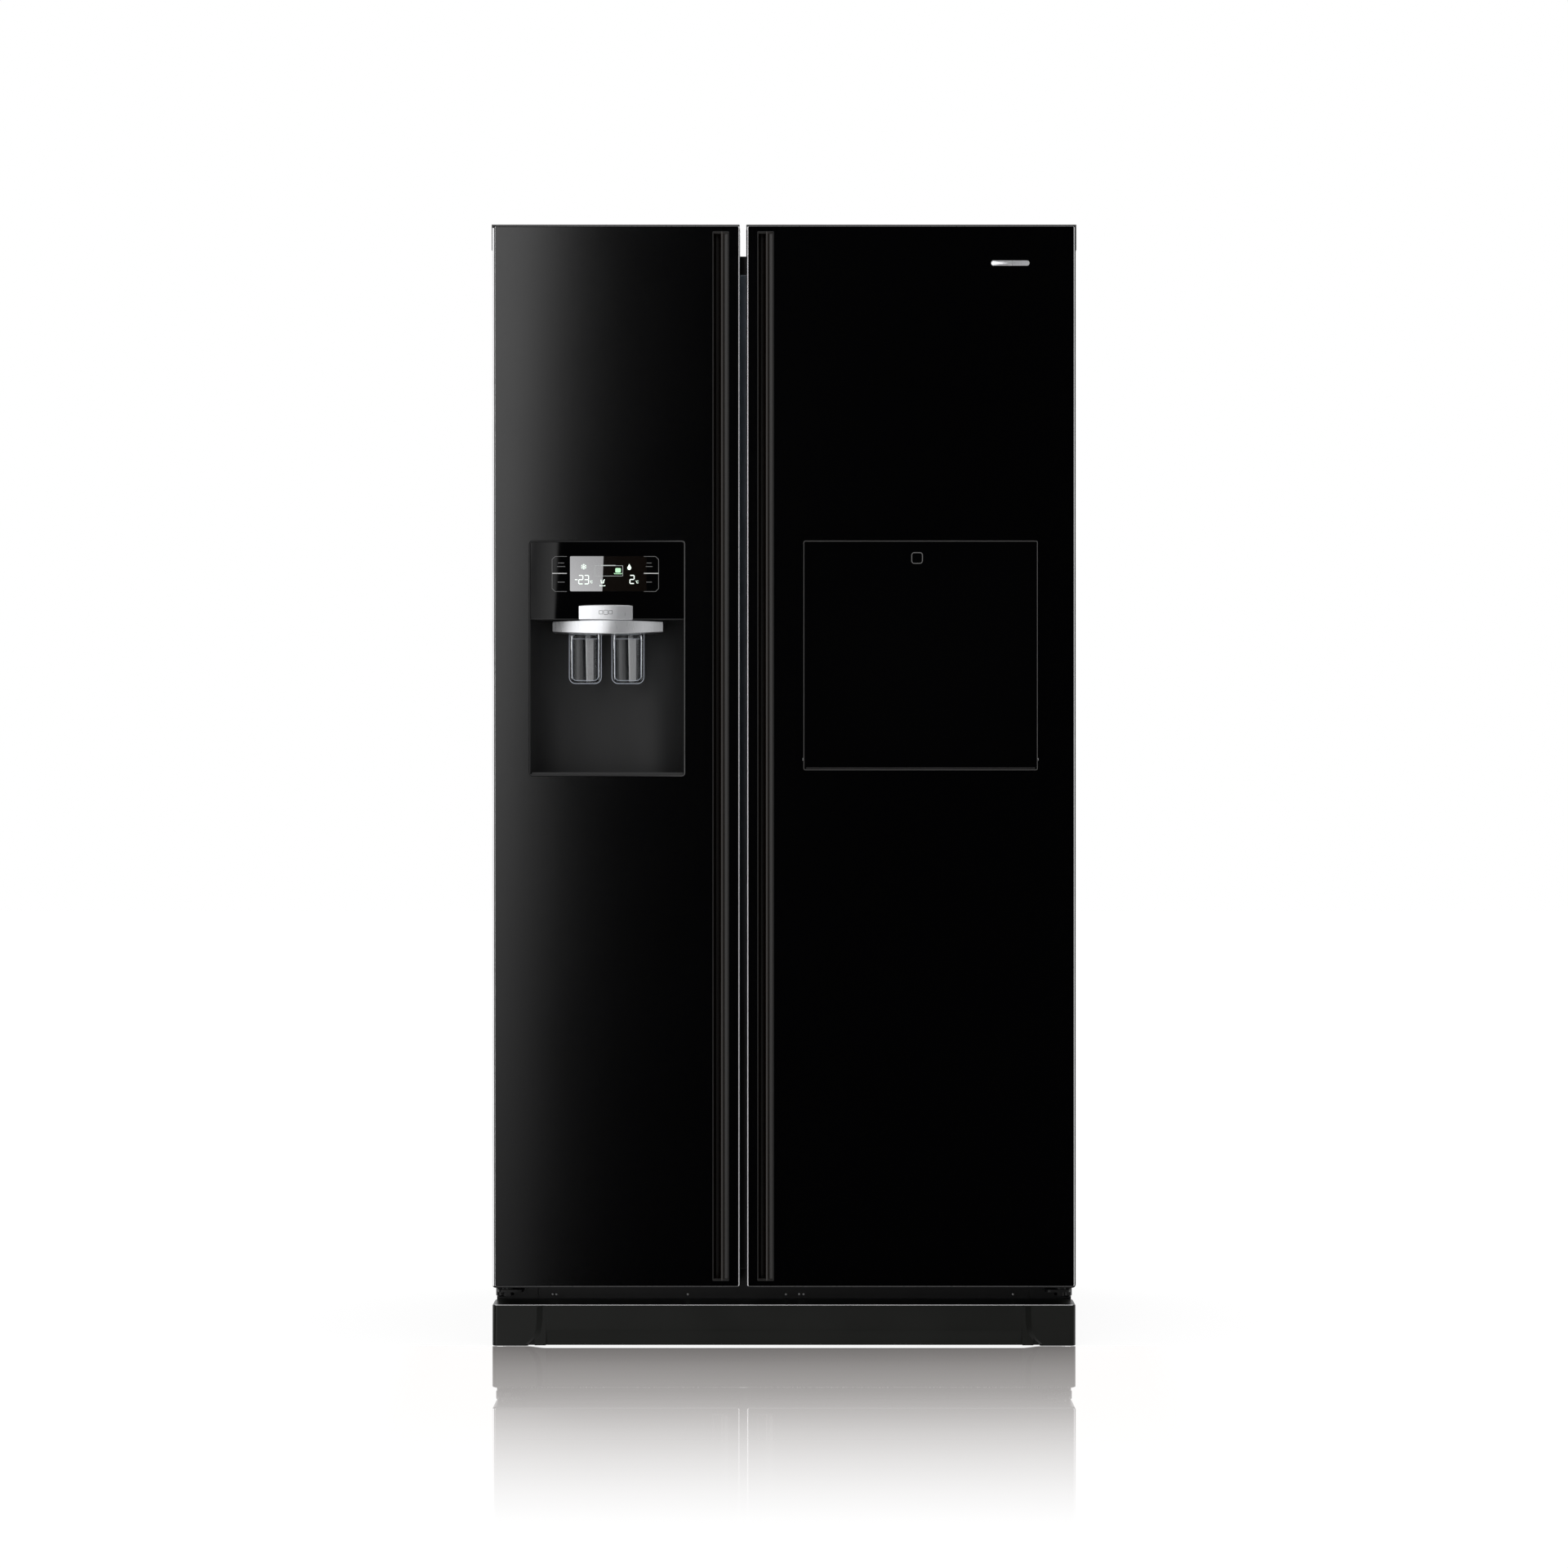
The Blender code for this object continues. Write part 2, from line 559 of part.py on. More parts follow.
def build_kick_plate():
    """Plinth: recessed curved middle, top ledge and two corner blocks that reach the floor."""
    back = CAB_FRONT - 4.0 - GAP
    wall = 3.0
    outer = [(KICK_RECESS, KICK_TOP), (KICK_RECESS, 27.0), (KICK_RECESS + 0.8, 22.0),
             (KICK_RECESS + 2.4, 15.0), (KICK_RECESS + 4.0, 8.0), (KICK_RECESS + 5.0, KICK_BOTTOM)]
    inner = [(y + wall, z) for y, z in reversed(outer)]
    plate = prism("X", outer + inner, -400.0, 400.0)
    ledge = box((-KICK_X + 4, KICK_X - 4), (KICK_RECESS + 1.0, back), (KICK_TOP - 2.5, KICK_TOP))
    blocks, hollows, swoops = [], [], []
    shape = [(370.0, -5.0), (404.0, -5.0), (404.0, 3.0), (397.0, 9.5), (391.5, 17.0), (388.0, 26.0),
             (386.5, 40.0), (386.0, 62.5), (370.0, 62.5)]
    for side in (-1, 1):
        across = ordered(side * 372.0, side * KICK_X)
        blocks.append(block("Z", across, (KICK_FRONT, back), 8.0,
                            [(KICK_BOTTOM, 0.8), (KICK_BOTTOM + 1.0, 0.0), (KICK_TOP - 1.0, 0.0),
                             (KICK_TOP, 0.8)], 6))
        hollows.append(box(ordered(side * 390.0, side * (KICK_X - wall)), (KICK_FRONT + wall, back + FAR),
                           (KICK_BOTTOM - FAR, KICK_TOP - wall)))
        hollows.append(box(ordered(side * 368.0, side * 390.5), (KICK_RECESS + wall, back + FAR),
                           (KICK_BOTTOM - FAR, KICK_TOP - wall)))
        outlines = []
        for draft in (9.0, -8.7):
            outlines.append([(side * (x + (draft if x > 371.0 else -20.0)), z) for x, z in shape])
        swoops.append(loft("Y", outlines, [KICK_FRONT - 6.0, KICK_RECESS - 0.2]))
    corners = blocks[0]
    join(corners, blocks[1])
    cut(corners, *hollows, *swoops)
    join(plate, ledge, corners)
    return finish(plate, "kick_plate", black_plastic("kick_plate_mat"))


# ---------------------------------------------------------------- hinges

def build_top_hinge(door):
    """Steel plate on the cabinet top with an arm and a pin down into the door."""
    x, side = door.pin_x, door.side
    arm = block("Z", (x - ARM_W / 2, x + ARM_W / 2), (PIN_Y - ARM_W / 2, -225.0), 8.9,
                [(ARM_BOTTOM, 0.0), (ARM_TOP, 0.0)], 6)
    plate = block("Z", ordered(x + side * 15.0, x - side * 45.0), (-268.0, -190.0), 4.0,
                  [(ARM_BOTTOM, 0.0), (ARM_TOP, 0.0)])
    pin = cylinder("Z", x, PIN_Y, PIN_R, 1692.0, ARM_TOP - 1.0)
    heads = [cylinder("Z", x - side * dx, y, 6.0, ARM_TOP - 1.0, ARM_TOP + 4.0, 6)
             for dx, y in ((5.0, -250.0), (30.0, -250.0), (12.0, -208.0))]
    join(arm, plate, pin, *heads)
    return finish(arm, f"top_hinge_{door.name}", bare_steel(f"top_hinge_{door.name}_mat"), smooth=True)


def build_hinge_cover(door):
    """Plastic cover over the hinge plate."""
    x, side = door.pin_x, door.side
    across = ordered(x + side * 18.0, x - side * 52.0)
    cover = block("Z", across, (-276.0, -182.0), 8.0, [(CAB_TOP + GAP, 0.0), (1738.0, 0.0), (1744.0, 6.0)])
    hollow = block("Z", (across[0] + 2.2, across[1] - 2.2), (-273.8, -184.2), 6.0,
                   [(CAB_TOP - 5, 0.0), (1736.0, 0.0), (1741.0, 5.0)])
    mouth = box((x - ARM_W / 2 - 1, x + ARM_W / 2 + 1), (-280.0, -270.0), (CAB_TOP - 5, ARM_TOP + 1.5))
    cut(cover, hollow, mouth)
    return finish(cover, f"hinge_cover_{door.name}", black_plastic(f"hinge_cover_{door.name}_mat"))


def build_bottom_hinge(door):
    """Bracket on the cabinet front that carries the door on its pin."""
    x, side = door.pin_x, door.side
    plate = block("Z", ordered(x + side * 16.0, x - side * 24.0), (PIN_Y - 14.0, CAB_FRONT - GAP), 8.0,
                  [(82.0, 0.0), (86.0, 0.0)], 5)
    flange = block("Y", ordered(x + side * 16.0, x - side * 44.0), (68.0, 86.0), 2.0,
                   [(CAB_FRONT - 4.0, 0.0), (CAB_FRONT - GAP, 0.0)])
    pin = cylinder("Z", x, PIN_Y, PIN_R, 80.0, 112.0)
    washer = cylinder("Z", x, PIN_Y, 10.0, 85.0, 91.0)
    nut = cylinder("Z", x, PIN_Y, 9.0, 76.0, 83.0, 6)
    knob = revolve("Z", x + side * 11.5, PIN_Y + 6.0,
                   [(0, 73.6), (6.0, 73.6), (8.0, 75.6), (8.0, 86.9), (6.0, 88.9), (0, 88.9)], 20)
    join(plate, flange, pin, washer, nut, knob)
    name = f"bottom_hinge_{door.name}"
    return finish(plate, name, steel_skin(name + "_mat"), smooth=True)


# ---------------------------------------------------------------- doors

def panel_pocket(door, inset):
    """Front pocket for the glossy panel, shrunk from the door outline by inset."""
    return block("Y", (door.left, door.right), (DOOR_BOTTOM, DOOR_TOP), DOOR_CORNER,
                 [(PANEL_FRONT - FAR, inset), (PANEL_BACK + GAP, inset)])


def corner_block(door, grow, bottom, front):
    """Upper hinge-side corner, taken by the end cap."""
    x = ordered(door.outer + door.side * grow, door.outer - door.side * CAP_BLOCK_W)
    return box(x, (front, CORE_BACK), (bottom, DOOR_TOP))


def hinge_hole(door, low, high):
    return cylinder("Z", door.pin_x, PIN_Y, PIN_R + GAP, low, high)


def build_core(door, openings):
    """Foamed door body in its painted skin. It carries all the other pieces of the door."""
    core = block("Y", (door.left, door.right), (DOOR_BOTTOM, DOOR_TOP - CAP_PLATE - GAP), DOOR_CORNER,
                 [(RIM_FRONT, 0.0), (CORE_BACK, 0.0)])
    x = (door.handle_left - GAP, door.handle_left + HANDLE_W + GAP)
    handle = box(x, (PANEL_FRONT - FAR, HANDLE_BACK + GAP), (HANDLE_BOTTOM - GAP, HANDLE_TOP + GAP))
    corner = corner_block(door, FAR, CAP_BLOCK_BOTTOM - GAP, RIM_FRONT - FAR)
    side_x = door.outer - door.side * (CAP_BLOCK_W + GAP)
    corner_side = box(ordered(door.outer + door.side * FAR, side_x), (RIM_FRONT - FAR, CORE_BACK + FAR),
                      (CAP_BLOCK_BOTTOM - GAP, DOOR_TOP + FAR))
    holes = [hinge_hole(door, 1688.0, CAP_BLOCK_BOTTOM + FAR), hinge_hole(door, DOOR_BOTTOM - FAR, 118.0)]
    cut(core, panel_pocket(door, RIM), handle, corner, corner_side, *holes, *openings)
    origin = (door.pin_x, PIN_Y, DOOR_BOTTOM)
    return finish(core, f"{door.name}_door_core", steel_skin(f"{door.name}_door_core_mat"), origin)


def build_cap(door, core):
    """Plastic end cap along the door top, with the block that the hinge arm swings in."""
    cap = block("Y", (door.left, door.right), (DOOR_TOP - CAP_PLATE, DOOR_TOP), 1.2,
                [(RIM_FRONT, 0.0), (CORE_BACK, 0.0)])
    cap = join(cap, corner_block(door, CAP_PROUD, CAP_BLOCK_BOTTOM, RIM_FRONT))
    slot = box(ordered(door.outer + door.side * FAR, door.pin_x - door.side * SLOT_IN),
               (SLOT_FRONT, CORE_BACK + FAR), (CAP_BLOCK_BOTTOM - 5.0, SLOT_TOP))
    pin = cylinder("Z", door.pin_x, PIN_Y, PIN_R + GAP, CAP_BLOCK_BOTTOM - 5, SLOT_TOP - 1)
    cut(cap, panel_pocket(door, RIM), slot, pin)
    name = f"{door.name}_door_cap"
    return finish(cap, name, black_plastic(name + "_mat"), (door.pin_x, PIN_Y, DOOR_BOTTOM), core)


def build_panel(door, core, openings):
    """Glossy front panel with a polished chamfer all round."""
    inset, chamfer = RIM + GAP, 1.8
    panel = block("Y", (door.left, door.right), (DOOR_BOTTOM, DOOR_TOP), DOOR_CORNER,
                  [(PANEL_FRONT, inset + chamfer), (PANEL_FRONT + chamfer, inset), (PANEL_BACK, inset)])
    x = (door.handle_left - GAP, door.handle_left + HANDLE_W + GAP)
    slot = box(x, (PANEL_FRONT - FAR, PANEL_BACK + FAR), (HANDLE_BOTTOM - GAP, HANDLE_TOP + GAP))
    cut(panel, slot, *openings)
    name = f"{door.name}_door_panel"
    return finish(panel, name, gloss_black(name + "_mat"), (door.pin_x, PIN_Y, DOOR_BOTTOM), core)


def build_door_liner(door, core, additions, openings):
    """Inner liner of a door: flat rim and a raised dike that the bins hang in."""
    flat = block("Y", (door.left + 3, door.right - 3), (DOOR_BOTTOM + 3, 1705.0), 4.0,
                 [(LINER_FRONT, 0.0), (DOOR_REAR, 0.0)])
    low, high = WALL_BOTTOM + 9.0, WALL_TOP - 9.0
    dike = block("Y", door.dike, (low, high), 18.0,
                 [(DOOR_REAR - 1.0, 0.0), (DIKE_REAR - 4.0, 1.0), (DIKE_REAR, 5.0)])
    inner = (door.dike[0] + DIKE_WALL, door.dike[1] - DIKE_WALL)
    tray = block("Y", inner, (low + DIKE_WALL, high - DIKE_WALL), 8.0,
                 [(DOOR_REAR, 0.0), (DIKE_REAR + FAR, 0.0)])
    cut(dike, tray)
    join(flat, dike, *additions)
    if openings:
        cut(flat, *openings)
    name = f"{door.name}_door_liner"
    return finish(flat, name, white_plastic(name + "_mat"), (door.pin_x, PIN_Y, DOOR_BOTTOM), core)


def build_gasket(door, core):
    """Magnetic gasket: one soft ring with a lip."""
    width, low, high = 16.0, 102.0, 1690.0
    ring = block("Y", door.gasket, (low, high), 6.0, [(DOOR_REAR + GAP, 1.5), (DOOR_REAR + 3.0, 2.5),
                                                    (GASKET_REAR - 3.0, 0.0), (GASKET_REAR, 1.0)])
    hole = block("Y", (door.gasket[0] + width, door.gasket[1] - width), (low + width, high - width), 5.0,
                 [(DOOR_REAR - 5, 0.0), (GASKET_REAR + 5, 0.0)])
    cut(ring, hole)
    name = f"{door.name}_door_gasket"
    return finish(ring, name, rubber(name + "_mat"), (door.pin_x, PIN_Y, DOOR_BOTTOM), core)


def build_handle(door, core):
    """Full-height finger channel with its raised grip ridge and closed ends."""
    x = door.handle_left
    channel = prism("Z", [(x + a, b) for a, b in HANDLE_PROFILE], HANDLE_BOTTOM, HANDLE_TOP)
    ends = []
    for low in (HANDLE_BOTTOM, HANDLE_TOP - HANDLE_END):
        ends.append(box((x, x + HANDLE_W), (-365.2, HANDLE_BACK), (low, low + HANDLE_END)))
    join(channel, *ends)
    name = f"{door.name}_handle_channel"
    material = surface(name + "_mat", (0.010, 0.006, 0.004), 0.25)
    return finish(channel, name, material, (door.pin_x, PIN_Y, DOOR_BOTTOM), core)


def build_bin(door, core, label, low):
    """Clear door bin that hangs in the dike."""
    high, wall = low + 120.0, 3.0
    front = DOOR_REAR + GAP
    body = block("Z", door.bin, (front, BIN_REAR), 10.0, [(low, 4.0), (low + 4, 0.0), (high, 0.0)])
    hollow = block("Z", (door.bin[0] + wall, door.bin[1] - wall), (front + wall, BIN_REAR - wall), 8.0,
                   [(low + wall, 4.0), (low + wall + 4, 0.0), (high + FAR, 0.0)])
    cut(body, hollow)
    name = f"{door.name}_bin_{label}"
    return finish(body, name, clear_plastic(name + "_mat"), (door.pin_x, PIN_Y, DOOR_BOTTOM), core)


# ---------------------------------------------------------------- dispenser

def cavity_outline(inset):
    """Plan view of the concave dispenser cavity, open at the front."""
    middle, power, count = 0.5 * (DISP_X[0] + DISP_X[1]), 2.0 / 3.0, 28
    half = 0.5 * (DISP_X[1] - DISP_X[0]) - RIM - inset
    depth = CAVITY_DEPTH - 2.0 * inset
    outline = []
    for k in range(count + 1):
        turn = math.pi * k / count
        across = math.copysign(abs(math.cos(turn)) ** power, math.cos(turn))
        outline.append((middle + half * across, PANEL_FRONT + inset + depth * math.sin(turn) ** power))
    return outline


def dispenser_housing_shape(grow):
    """Outer form of the housing; grown by grow it makes the matching opening."""
    x = (DISP_X[0] - grow, DISP_X[1] + grow)
    z = (DISP_Z[0] - grow, DISP_Z[1] + grow)
    step = CAVITY_TOP + 4.5 + grow
    front = block("Y", x, z, 5.0, [(DISP_FRONT - (FAR if grow else 0.0), 0.5 if not grow else 0.0),
                                   (DISP_FRONT + 0.5, 0.0), (-340.0, 0.0)])
    tub = block("Y", x, (z[0], step), 5.0, [(-344.0, 0.0), (TUB_BACK + grow, 0.0)])
    head = block("Y", x, (step - 12.0, z[1]), 5.0, [(-344.0, 0.0), (HEAD_BACK + grow, 0.0)])
    return join(front, tub, head)


def build_housing(core):
    """One-piece housing: outline rim, concave cavity, recess for the glass panel and the button."""
    housing = dispenser_housing_shape(0.0)
    plan = cavity_outline(0.0)
    mouth = [(plan[-1][0], PANEL_FRONT - FAR), (plan[0][0], PANEL_FRONT - FAR)]
    cavity = prism("Z", plan + mouth, CAVITY_FLOOR, CAVITY_TOP)
    glass = block("Y", (DISP_X[0] + RIM, DISP_X[1] - RIM), (CAVITY_TOP - 5.0, DISP_Z[1] - RIM), 3.4,
                  [(PANEL_FRONT - FAR, 0.0), (-361.7, 0.0)])
    button = box((BUTTON_X[0] - 0.6, BUTTON_X[1] + 0.6), (PANEL_FRONT - FAR, -352.0),
                 (CAVITY_TOP - 5.0, BUTTON_Z[1] + 0.6))
    cut(housing, cavity, glass, button, ice_chute())
    name = "dispenser_housing"
    material = surface(name + "_mat", (0.028, 0.028, 0.029), 0.38)
    return finish(housing, name, material, (DISP_X[0], DISP_FRONT, DISP_Z[0]), core, smooth=True)


def ice_chute():
    """Sloping passage from the back of the door down to the cavity."""
    outline = [(-357.0, 1128.0), (-335.0, 1128.0), (-335.0, 1146.0), (-200.0, 1250.0), (-200.0, 1300.0),
               (-357.0, 1172.0)]
    return prism("X", outline, -332.0, -289.0)


def build_control_panel(core):
    """Black glass of the control panel, cut out for the display and the button."""
    border = RIM + GAP
    glass = block("Y", (DISP_X[0] + border, DISP_X[1] - border), (CAVITY_TOP + 0.6, DISP_Z[1] - border), 3.0,
                  [(PANEL_FRONT, 0.5), (PANEL_FRONT + 0.5, 0.0), (-362.0, 0.0)])
    window = block("Y", DISPLAY_X, DISPLAY_Z, 2.0, [(PANEL_FRONT - FAR, 0.0), (PANEL_BACK + FAR, 0.0)])
    button = box((BUTTON_X[0] - 0.6, BUTTON_X[1] + 0.6), (PANEL_FRONT - FAR, PANEL_BACK + FAR),
                 (CAVITY_TOP - 9.0, BUTTON_Z[1] + 0.6))
    cut(glass, window, button)
    return finish(glass, "control_panel", gloss_black("control_panel_mat"),
                  (DISP_X[0], PANEL_FRONT, CAVITY_TOP), core)


def build_display(core):
    """Display window, flush in the glass."""
    window = block("Y", DISPLAY_X, DISPLAY_Z, 1.8, [(PANEL_FRONT, GAP), (-362.0, GAP)])
    material = surface("display_window_mat", (0.01, 0.012, 0.012), 0.08)
    return finish(window, "display_window", material, (DISPLAY_X[0], PANEL_FRONT, DISPLAY_Z[0]), core)


def drum(x, z, front, back, radius, bows, soft, count=14):
    """Block with a front bowed in plan and long edges bowed up and down; soft is its edge chamfer."""
    middle, half = 0.5 * (x[0] + x[1]), 0.5 * (x[1] - x[0])
    verts, faces = [], []
    for inset, height, bow in ((soft, z[0], -bows[0]), (0.0, z[0] + soft, -bows[0]),
                               (0.0, z[1] - soft, bows[1]), (soft, z[1], bows[1])):
        across = [-1.0 + 2.0 * k / count for k in range(count + 1)]
        for u in across:
            dx = (half - inset) * u
            y = front + inset + radius - math.sqrt(radius * radius - dx * dx)
            verts.append(Vector((middle + dx, y, height - bow * u * u)) * MM)
        for u in reversed(across):
            verts.append(Vector((middle + (half - inset) * u, back, height - bow * u * u)) * MM)
    ring = 2 * (count + 1)
    for level in range(3):
        for i in range(ring):
            j = (i + 1) % ring
            faces.append((level * ring + i, level * ring + j, (level + 1) * ring + j, (level + 1) * ring + i))
    for base in (0, 3 * ring):
        for i in range(count):
            faces.append((base + i, base + i + 1, base + ring - 2 - i, base + ring - 1 - i))
    return new_body("shape", verts, faces)


def build_canopy(core):
    """Satin canopy above the levers, hollow for their hubs and for the falling ice."""
    canopy = drum(CANOPY_X, CANOPY_Z, CANOPY_FRONT, CANOPY_BACK, CANOPY_RADIUS, (3.0, 1.4), 1.2)
    pockets = []
    for x in (ICE_LEVER_X, WATER_LEVER_X):
        reach = 0.5 * LEVER_W + 1.2
        pockets.append(box((x - reach, x + reach), (LEVER_Y - 12.0, LEVER_Y + 12.0),
                           (CANOPY_Z[0] - FAR, 1127.0)))
    reach = 0.5 * LEVER_W + 5.0
    pins = cylinder("X", LEVER_Y, LEVER_Z, 2.3, ICE_LEVER_X - reach, WATER_LEVER_X + reach, 16)
    spout = block("Z", (-330.0, -291.0), (-354.0, -336.0), 4.0,
                  [(CANOPY_Z[0] - FAR, 0.0), (CANOPY_Z[1] + FAR, 0.0)])
    nozzle = cylinder("Z", WATER_LEVER_X, -346.0, 5.0, CANOPY_Z[0] - FAR, 1126.0, 16)
    cut(canopy, pins, spout, nozzle, *pockets)
    return finish(canopy, "dispenser_canopy", satin_silver("dispenser_canopy_mat"),
                  (CANOPY_X[0], CANOPY_FRONT, CANOPY_Z[0]), core, smooth=True)


def build_button(core):
    """Push button for the kind of ice, with a soft pillow edge."""
    key = drum(BUTTON_X, BUTTON_Z, BUTTON_FRONT, BUTTON_BACK, BUTTON_RADIUS, (0.0, 0.7), 1.0, 10)
    middle = 0.5 * (BUTTON_X[0] + BUTTON_X[1])
    return finish(key, "ice_type_button", satin_silver("ice_type_button_mat"),
                  (middle, BUTTON_FRONT, 0.5 * (BUTTON_Z[0] + BUTTON_Z[1])), core, smooth=True)


def bowl(across, front, shoulder, back, bottom, top, corner):
    """Column with a half-round back in plan and rounded lower corners in front view."""
    middle, half, count = 0.5 * (across[0] + across[1]), 0.5 * (across[1] - across[0]), 16
    plan = [(across[0], front)]
    for k in range(count + 1):
        turn = math.pi * k / count
        plan.append((middle - half * math.cos(turn), shoulder + (back - shoulder) * math.sin(turn) ** 0.8))
    plan.append((across[1], front))
    column = prism("Z", plan, bottom - 5.0, top + 5.0)
    face = block("Y", across, (bottom, top), corner, [(front - 5.0, 0.0), (back + 5.0, 0.0)], 6)
    return combine(column, [face], "INTERSECT")


def build_lever(name, core, x):
    """Clear paddle: flat rim around a half-round bowl, hung on a pin inside the canopy."""
    across = (x - 0.5 * LEVER_W, x + 0.5 * LEVER_W)
    front, back, rim, top = LEVER_Y - 9.0, LEVER_Y + 7.0, 5.0, LEVER_Z + 3.0
    plate = block("Y", across, (LEVER_BOTTOM, top), 10.5,
                  [(front, 0.6), (front + 0.6, 0.0), (front + 3.0, 0.0)], 6)
    grow = rim - LEVER_WALL
    outer = bowl((across[0] + grow, across[1] - grow), front + 1.0, front + 2.5, back,
                 LEVER_BOTTOM + grow, top - 1.0, 9.0)
    inner = bowl((across[0] + rim, across[1] - rim), front - FAR, front + 1.5, back - LEVER_WALL,
                 LEVER_BOTTOM + rim, LEVER_Z - 14.0, 7.0)
    hub = cylinder("X", LEVER_Y, LEVER_Z, LEVER_HUB, across[0], across[1], 16)
    pin = cylinder("X", LEVER_Y, LEVER_Z, 2.0, across[0] - 3.5, across[1] + 3.5, 16)
    join(plate, outer, hub, pin)
    cut(plate, inner)
    return finish(plate, name, clear_plastic(name + "_mat"), (x, LEVER_Y, LEVER_Z), core, smooth=True)


def build_drip_tray(core):
    """Loose tray on the cavity floor, grooved to carry drips off."""
    top = CAVITY_FLOOR + 3.0
    tray = prism("Z", cavity_outline(1.2), CAVITY_FLOOR + GAP, top)
    front = box((DISP_X[0] - FAR, DISP_X[1] + FAR), (PANEL_FRONT - FAR, PANEL_FRONT + 12.0),
                (CAVITY_FLOOR - FAR, top + FAR))
    middle = 0.5 * (DISP_X[0] + DISP_X[1])
    grooves = []
    for k in range(-9, 10):
        x = middle + k * 9.0
        reach = 62.0 - 0.75 * abs(k)
        grooves.append(box((x - 2.2, x + 2.2), (-342.0, -342.0 + reach), (top - 1.4, top + FAR)))
    cut(tray, front, *grooves)
    return finish(tray, "drip_tray", surface("drip_tray_mat", (0.03, 0.03, 0.031), 0.35),
                  (middle, PANEL_FRONT, CAVITY_FLOOR), core)


# ---------------------------------------------------------------- home bar

def bar_opening(border, front, back):
    """Opening for the home bar: border is negative for the wide front part."""
    return block("Y", (BAR_X[0] + border, BAR_X[1] - border), (BAR_Z[0] + border, BAR_Z[1] - border), 6.0,
                 [(front, 0.0), (back, 0.0)])


def bar_pin_sockets():
    return [cylinder("X", BAR_PIN_Y, BAR_PIN_Z, BAR_PIN_R + GAP, low, high, 16)
            for low, high in ((BAR_X[0] - 9.0, BAR_X[0] + 1.0), (BAR_X[1] - 1.0, BAR_X[1] + 9.0))]


def build_bar_liner(core):
    """Foamed inner half of the home bar door; it carries the pins and the latch hook."""
    body = block("Y", (BAR_X[0] + 3, BAR_X[1] - 3), (BAR_Z[0] + 4, BAR_Z[1] - 3), 6.0,
                 [(PANEL_BACK + GAP, 0.0), (BAR_REAR - 3.0, 0.0), (BAR_REAR, 3.0)])
    plug = block("Y", (BAR_X[0] + 34, BAR_X[1] - 34), (BAR_Z[0] + 36, BAR_Z[1] - 34), 12.0,
                 [(BAR_REAR - 4.0, 0.0), (BAR_REAR + 4.0, 0.0), (BAR_REAR + 9.0, 6.0)])
    pin = cylinder("X", BAR_PIN_Y, BAR_PIN_Z, BAR_PIN_R, BAR_X[0] - 5.0, BAR_X[1] + 5.0, 16)
    hook = box((207.0, 219.0), (BAR_REAR - 8.0, BAR_REAR + 7.0), (BAR_Z[1] - 14.0, BAR_Z[1] - 7.0))
    join(body, plug, pin, hook)
    return finish(body, "home_bar_liner", white_plastic("home_bar_liner_mat"), BAR_PIVOT, core)


def build_bar_panel(bar):
    """Glossy front of the home bar door."""
    panel = block("Y", BAR_X, BAR_Z, 5.0, [(PANEL_FRONT, 1.4), (PANEL_FRONT + 1.4, 0.0), (PANEL_BACK, 0.0)])
    return finish(panel, "home_bar_panel", gloss_black("home_bar_panel_mat"), BAR_PIVOT, bar)


def build_bar_gasket(bar):
    """Soft ring between the home bar door and the ledge."""
    width = 10.0
    outer = (BAR_X[0] + 12.0, BAR_X[1] - 12.0)
    height = (BAR_Z[0] + 13.0, BAR_Z[1] - 16.0)
    ring = block("Y", outer, height, 5.0, [(BAR_REAR + GAP, 1.0), (BAR_LEDGE - 0.6, 0.0)])
    hole = block("Y", (outer[0] + width, outer[1] - width), (height[0] + width, height[1] - width), 4.0,
                 [(BAR_REAR - 5, 0.0), (BAR_LEDGE + 5, 0.0)])
    cut(ring, hole)
    return finish(ring, "home_bar_gasket", rubber("home_bar_gasket_mat"), BAR_PIVOT, bar)


# ---------------------------------------------------------------- interior

def build_shelf(name, x, level):
    """Glass shelf in a plastic rim that rests on the liner ribs."""
    shelf = block("Z", (x[0] + LINER_T + 0.6, x[1] - LINER_T - 0.6), (-160.0, 285.0), 6.0,
                  [(level + GAP, 1.0), (level + 1.3, 0.0), (level + 13.0, 0.0), (level + 14.0, 1.0)])
    inner = ((x[0] + 22.0), (x[1] - 22.0))
    above = block("Z", inner, (-140.0, 268.0), 6.0, [(level + 9.0, 0.0), (level + FAR, 0.0)])
    below = block("Z", inner, (-140.0, 268.0), 6.0, [(level - FAR, 0.0), (level + 5.0, 0.0)])
    cut(shelf, above, below)
    return finish(shelf, name, clear_plastic(name + "_mat"))


def build_drawer(name, x, y, z, material):
    """Pull-out box with a finger groove along its front."""
    wall = 3.0
    drawer = block("Z", x, y, 12.0, [(z[0], 6.0), (z[0] + 6.0, 0.0), (z[1], 0.0)])
    hollow = block("Z", (x[0] + wall, x[1] - wall), (y[0] + wall, y[1] - wall), 9.0,
                   [(z[0] + wall, 6.0), (z[0] + wall + 6.0, 0.0), (z[1] + FAR, 0.0)])
    grip = block("Y", (x[0] + 60.0, x[1] - 60.0), (z[1] - 34.0, z[1] - 20.0), 6.0,
                 [(y[0] - 9.0, 3.0), (y[0] + 1.0, 0.0)])
    cut(drawer, hollow)
    join(drawer, grip)
    return finish(drawer, name, material)


